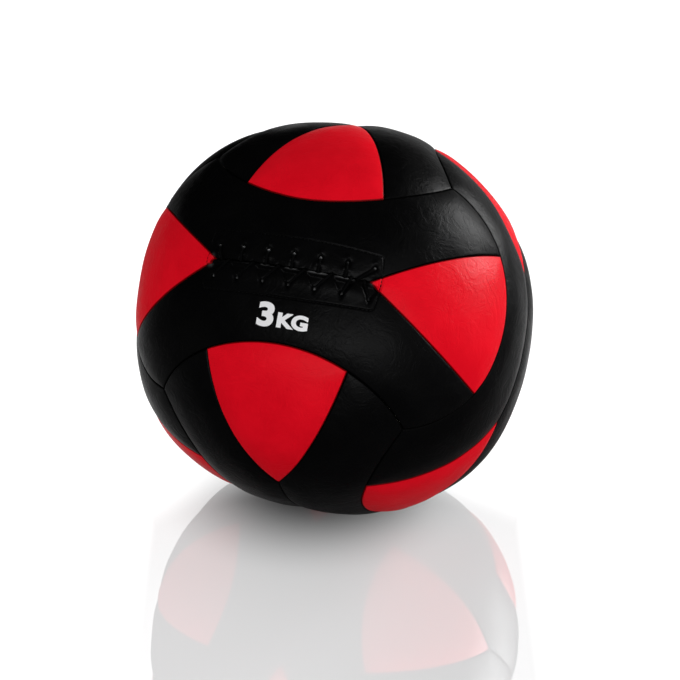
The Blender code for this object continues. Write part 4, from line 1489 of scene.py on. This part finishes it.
# Near the ball, outside the pools, the floor that the gloss sees has no glow: a painted shadow in
# the reflections
mirrored_glow = glow_from((0, 0, 0), FAR_WHITE_START, FAR_WHITE_FULL, FAR_WHITE)
for right, ahead, full, none in WHITE_POOLS:
    mirrored_glow = mirrored_glow + glow_from(right * rightward + ahead * forward, none, full)
seen = acrylic.ray("Is Camera Ray") + acrylic.ray("Is Transmission Ray")
mirrored = acrylic.ray("Is Glossy Ray") * acrylic.direct()
glow = acrylic.node("ShaderNodeEmission", {}, {
    "Color": (1, 1, 1, 1), "Strength": seen * seen_glow + mirrored * mirrored_glow,
})
lit = acrylic.node("ShaderNodeAddShader", {}, {0: acrylic.surface, 1: glow})
mirror = acrylic.node("ShaderNodeBsdfGlossy", {}, {"Color": (1, 1, 1, 1), "Roughness": 0})
mirror_share = acrylic.direct() * (1 - acrylic.ray("Is Glossy Ray")) * FLOOR_MIRROR_SHARE
acrylic.mixed(mirror_share, lit, mirror)
floor.data.materials.append(acrylic.material)

# The room: a white studio. A big softbox by the camera is the key, and weaker ones stand on the
# left, on the right and behind on the right. Two small lamps only give sheen: one on the front, one
# on the right shoulder. Black flags above and on the left keep the top dark.
WORLD_LEVEL = 0.45
# Each lamp's name, turn, rise, distance, size, watts, and whether it lights up and gives sheen
LAMPS = (
    ("key", 158, 23, 1.6, (1.5, 1.5), 13.5, True, True),
    ("side", 96, 30, 1.6, (0.8, 0.8), 6.5, True, False),
    ("rim", 54, 18, 1.5, (0.5, 0.7), 14, True, False),
    ("fill", -105, 6, 2.0, (1.0, 0.7), 9, True, False),
    ("front sheen", 182, 22, 1.6, (1.3, 0.50), 47, False, True),
    ("shoulder sheen", 72, 23, 1.5, (0.85, 0.75), 120, False, True),
)

world = bpy.data.worlds.new("white studio")
bpy.context.scene.world = world
room = Finish("room", world, Color=(1, 1, 1, 1))
white = room.ray("Is Camera Ray") + room.ray("Is Transmission Ray")
white = white + room.ray("Is Glossy Ray") * room.direct()
room.set(room.shader, {"Strength": room.between(white, 0, 1, WORLD_LEVEL, 1)})


def from_ball(turn, rise):
    """A direction from the ball: turned right from where the camera faces, and raised."""
    return Vector(row_direction(VIEW_AZIMUTH + 180 - turn, rise))


for name, turn, rise, distance, size, watts, lights_up, gives_sheen in LAMPS:
    lamp = linked(name, bpy.data.lights.new(name, "AREA"))
    lamp.data.shape, lamp.data.energy = "RECTANGLE", watts
    lamp.data.size, lamp.data.size_y = size
    lamp.location = ball_middle + from_ball(turn, rise) * distance
    lamp.rotation_euler = from_ball(turn, rise).to_track_quat("Z", "Y").to_euler()
    lamp.visible_camera = False
    lamp.visible_diffuse, lamp.visible_glossy = lights_up, gives_sheen

# The flags hang outside the picture and only take reflections off the ball
FLAG_DISTANCE = 1.45
FLAG_LEFT, FLAG_RIGHT = -160, 28
FLAG_LOW, FLAG_OVERHEAD = -3, 52
FLAG_STEP, FLAG_LOW_PAST_STEP = -10, 13
FLAG_CELL = 4
FLAG_BLACK = (0.01, 0.01, 0.01, 1)

turns = np.arange(-180, 181, FLAG_CELL)
rises = np.arange(FLAG_LOW, 91, FLAG_CELL) + 0.5
corners = [ball_middle + from_ball(turn, rise) * FLAG_DISTANCE for rise in rises for turn in turns]
faces = []
for row, rise in enumerate(rises[:-1]):
    for column, turn in enumerate(turns[:-1]):
        lowest = FLAG_LOW if turn < FLAG_STEP else FLAG_LOW_PAST_STEP
        if rise >= FLAG_OVERHEAD or FLAG_LEFT <= turn < FLAG_RIGHT and rise >= lowest:
            first = row * len(turns) + column
            faces.append((first, first + 1, first + 1 + len(turns), first + len(turns)))
flags = linked("flags", bpy.data.meshes.new("flags"))
flags.data.from_pydata([tuple(corner) for corner in corners], [], faces)
cloth = Finish("black flag", Base_Color=FLAG_BLACK, Roughness=1.0, Specular_IOR_Level=0.0)
clear = cloth.node("ShaderNodeBsdfTransparent")
cloth.mixed(cloth.ray("Is Singular Ray"), cloth.surface, clear)
flags.data.materials.append(cloth.material)
flags.visible_camera = flags.visible_diffuse = flags.visible_shadow = False

bpy.context.scene.view_settings.view_transform = "Standard"
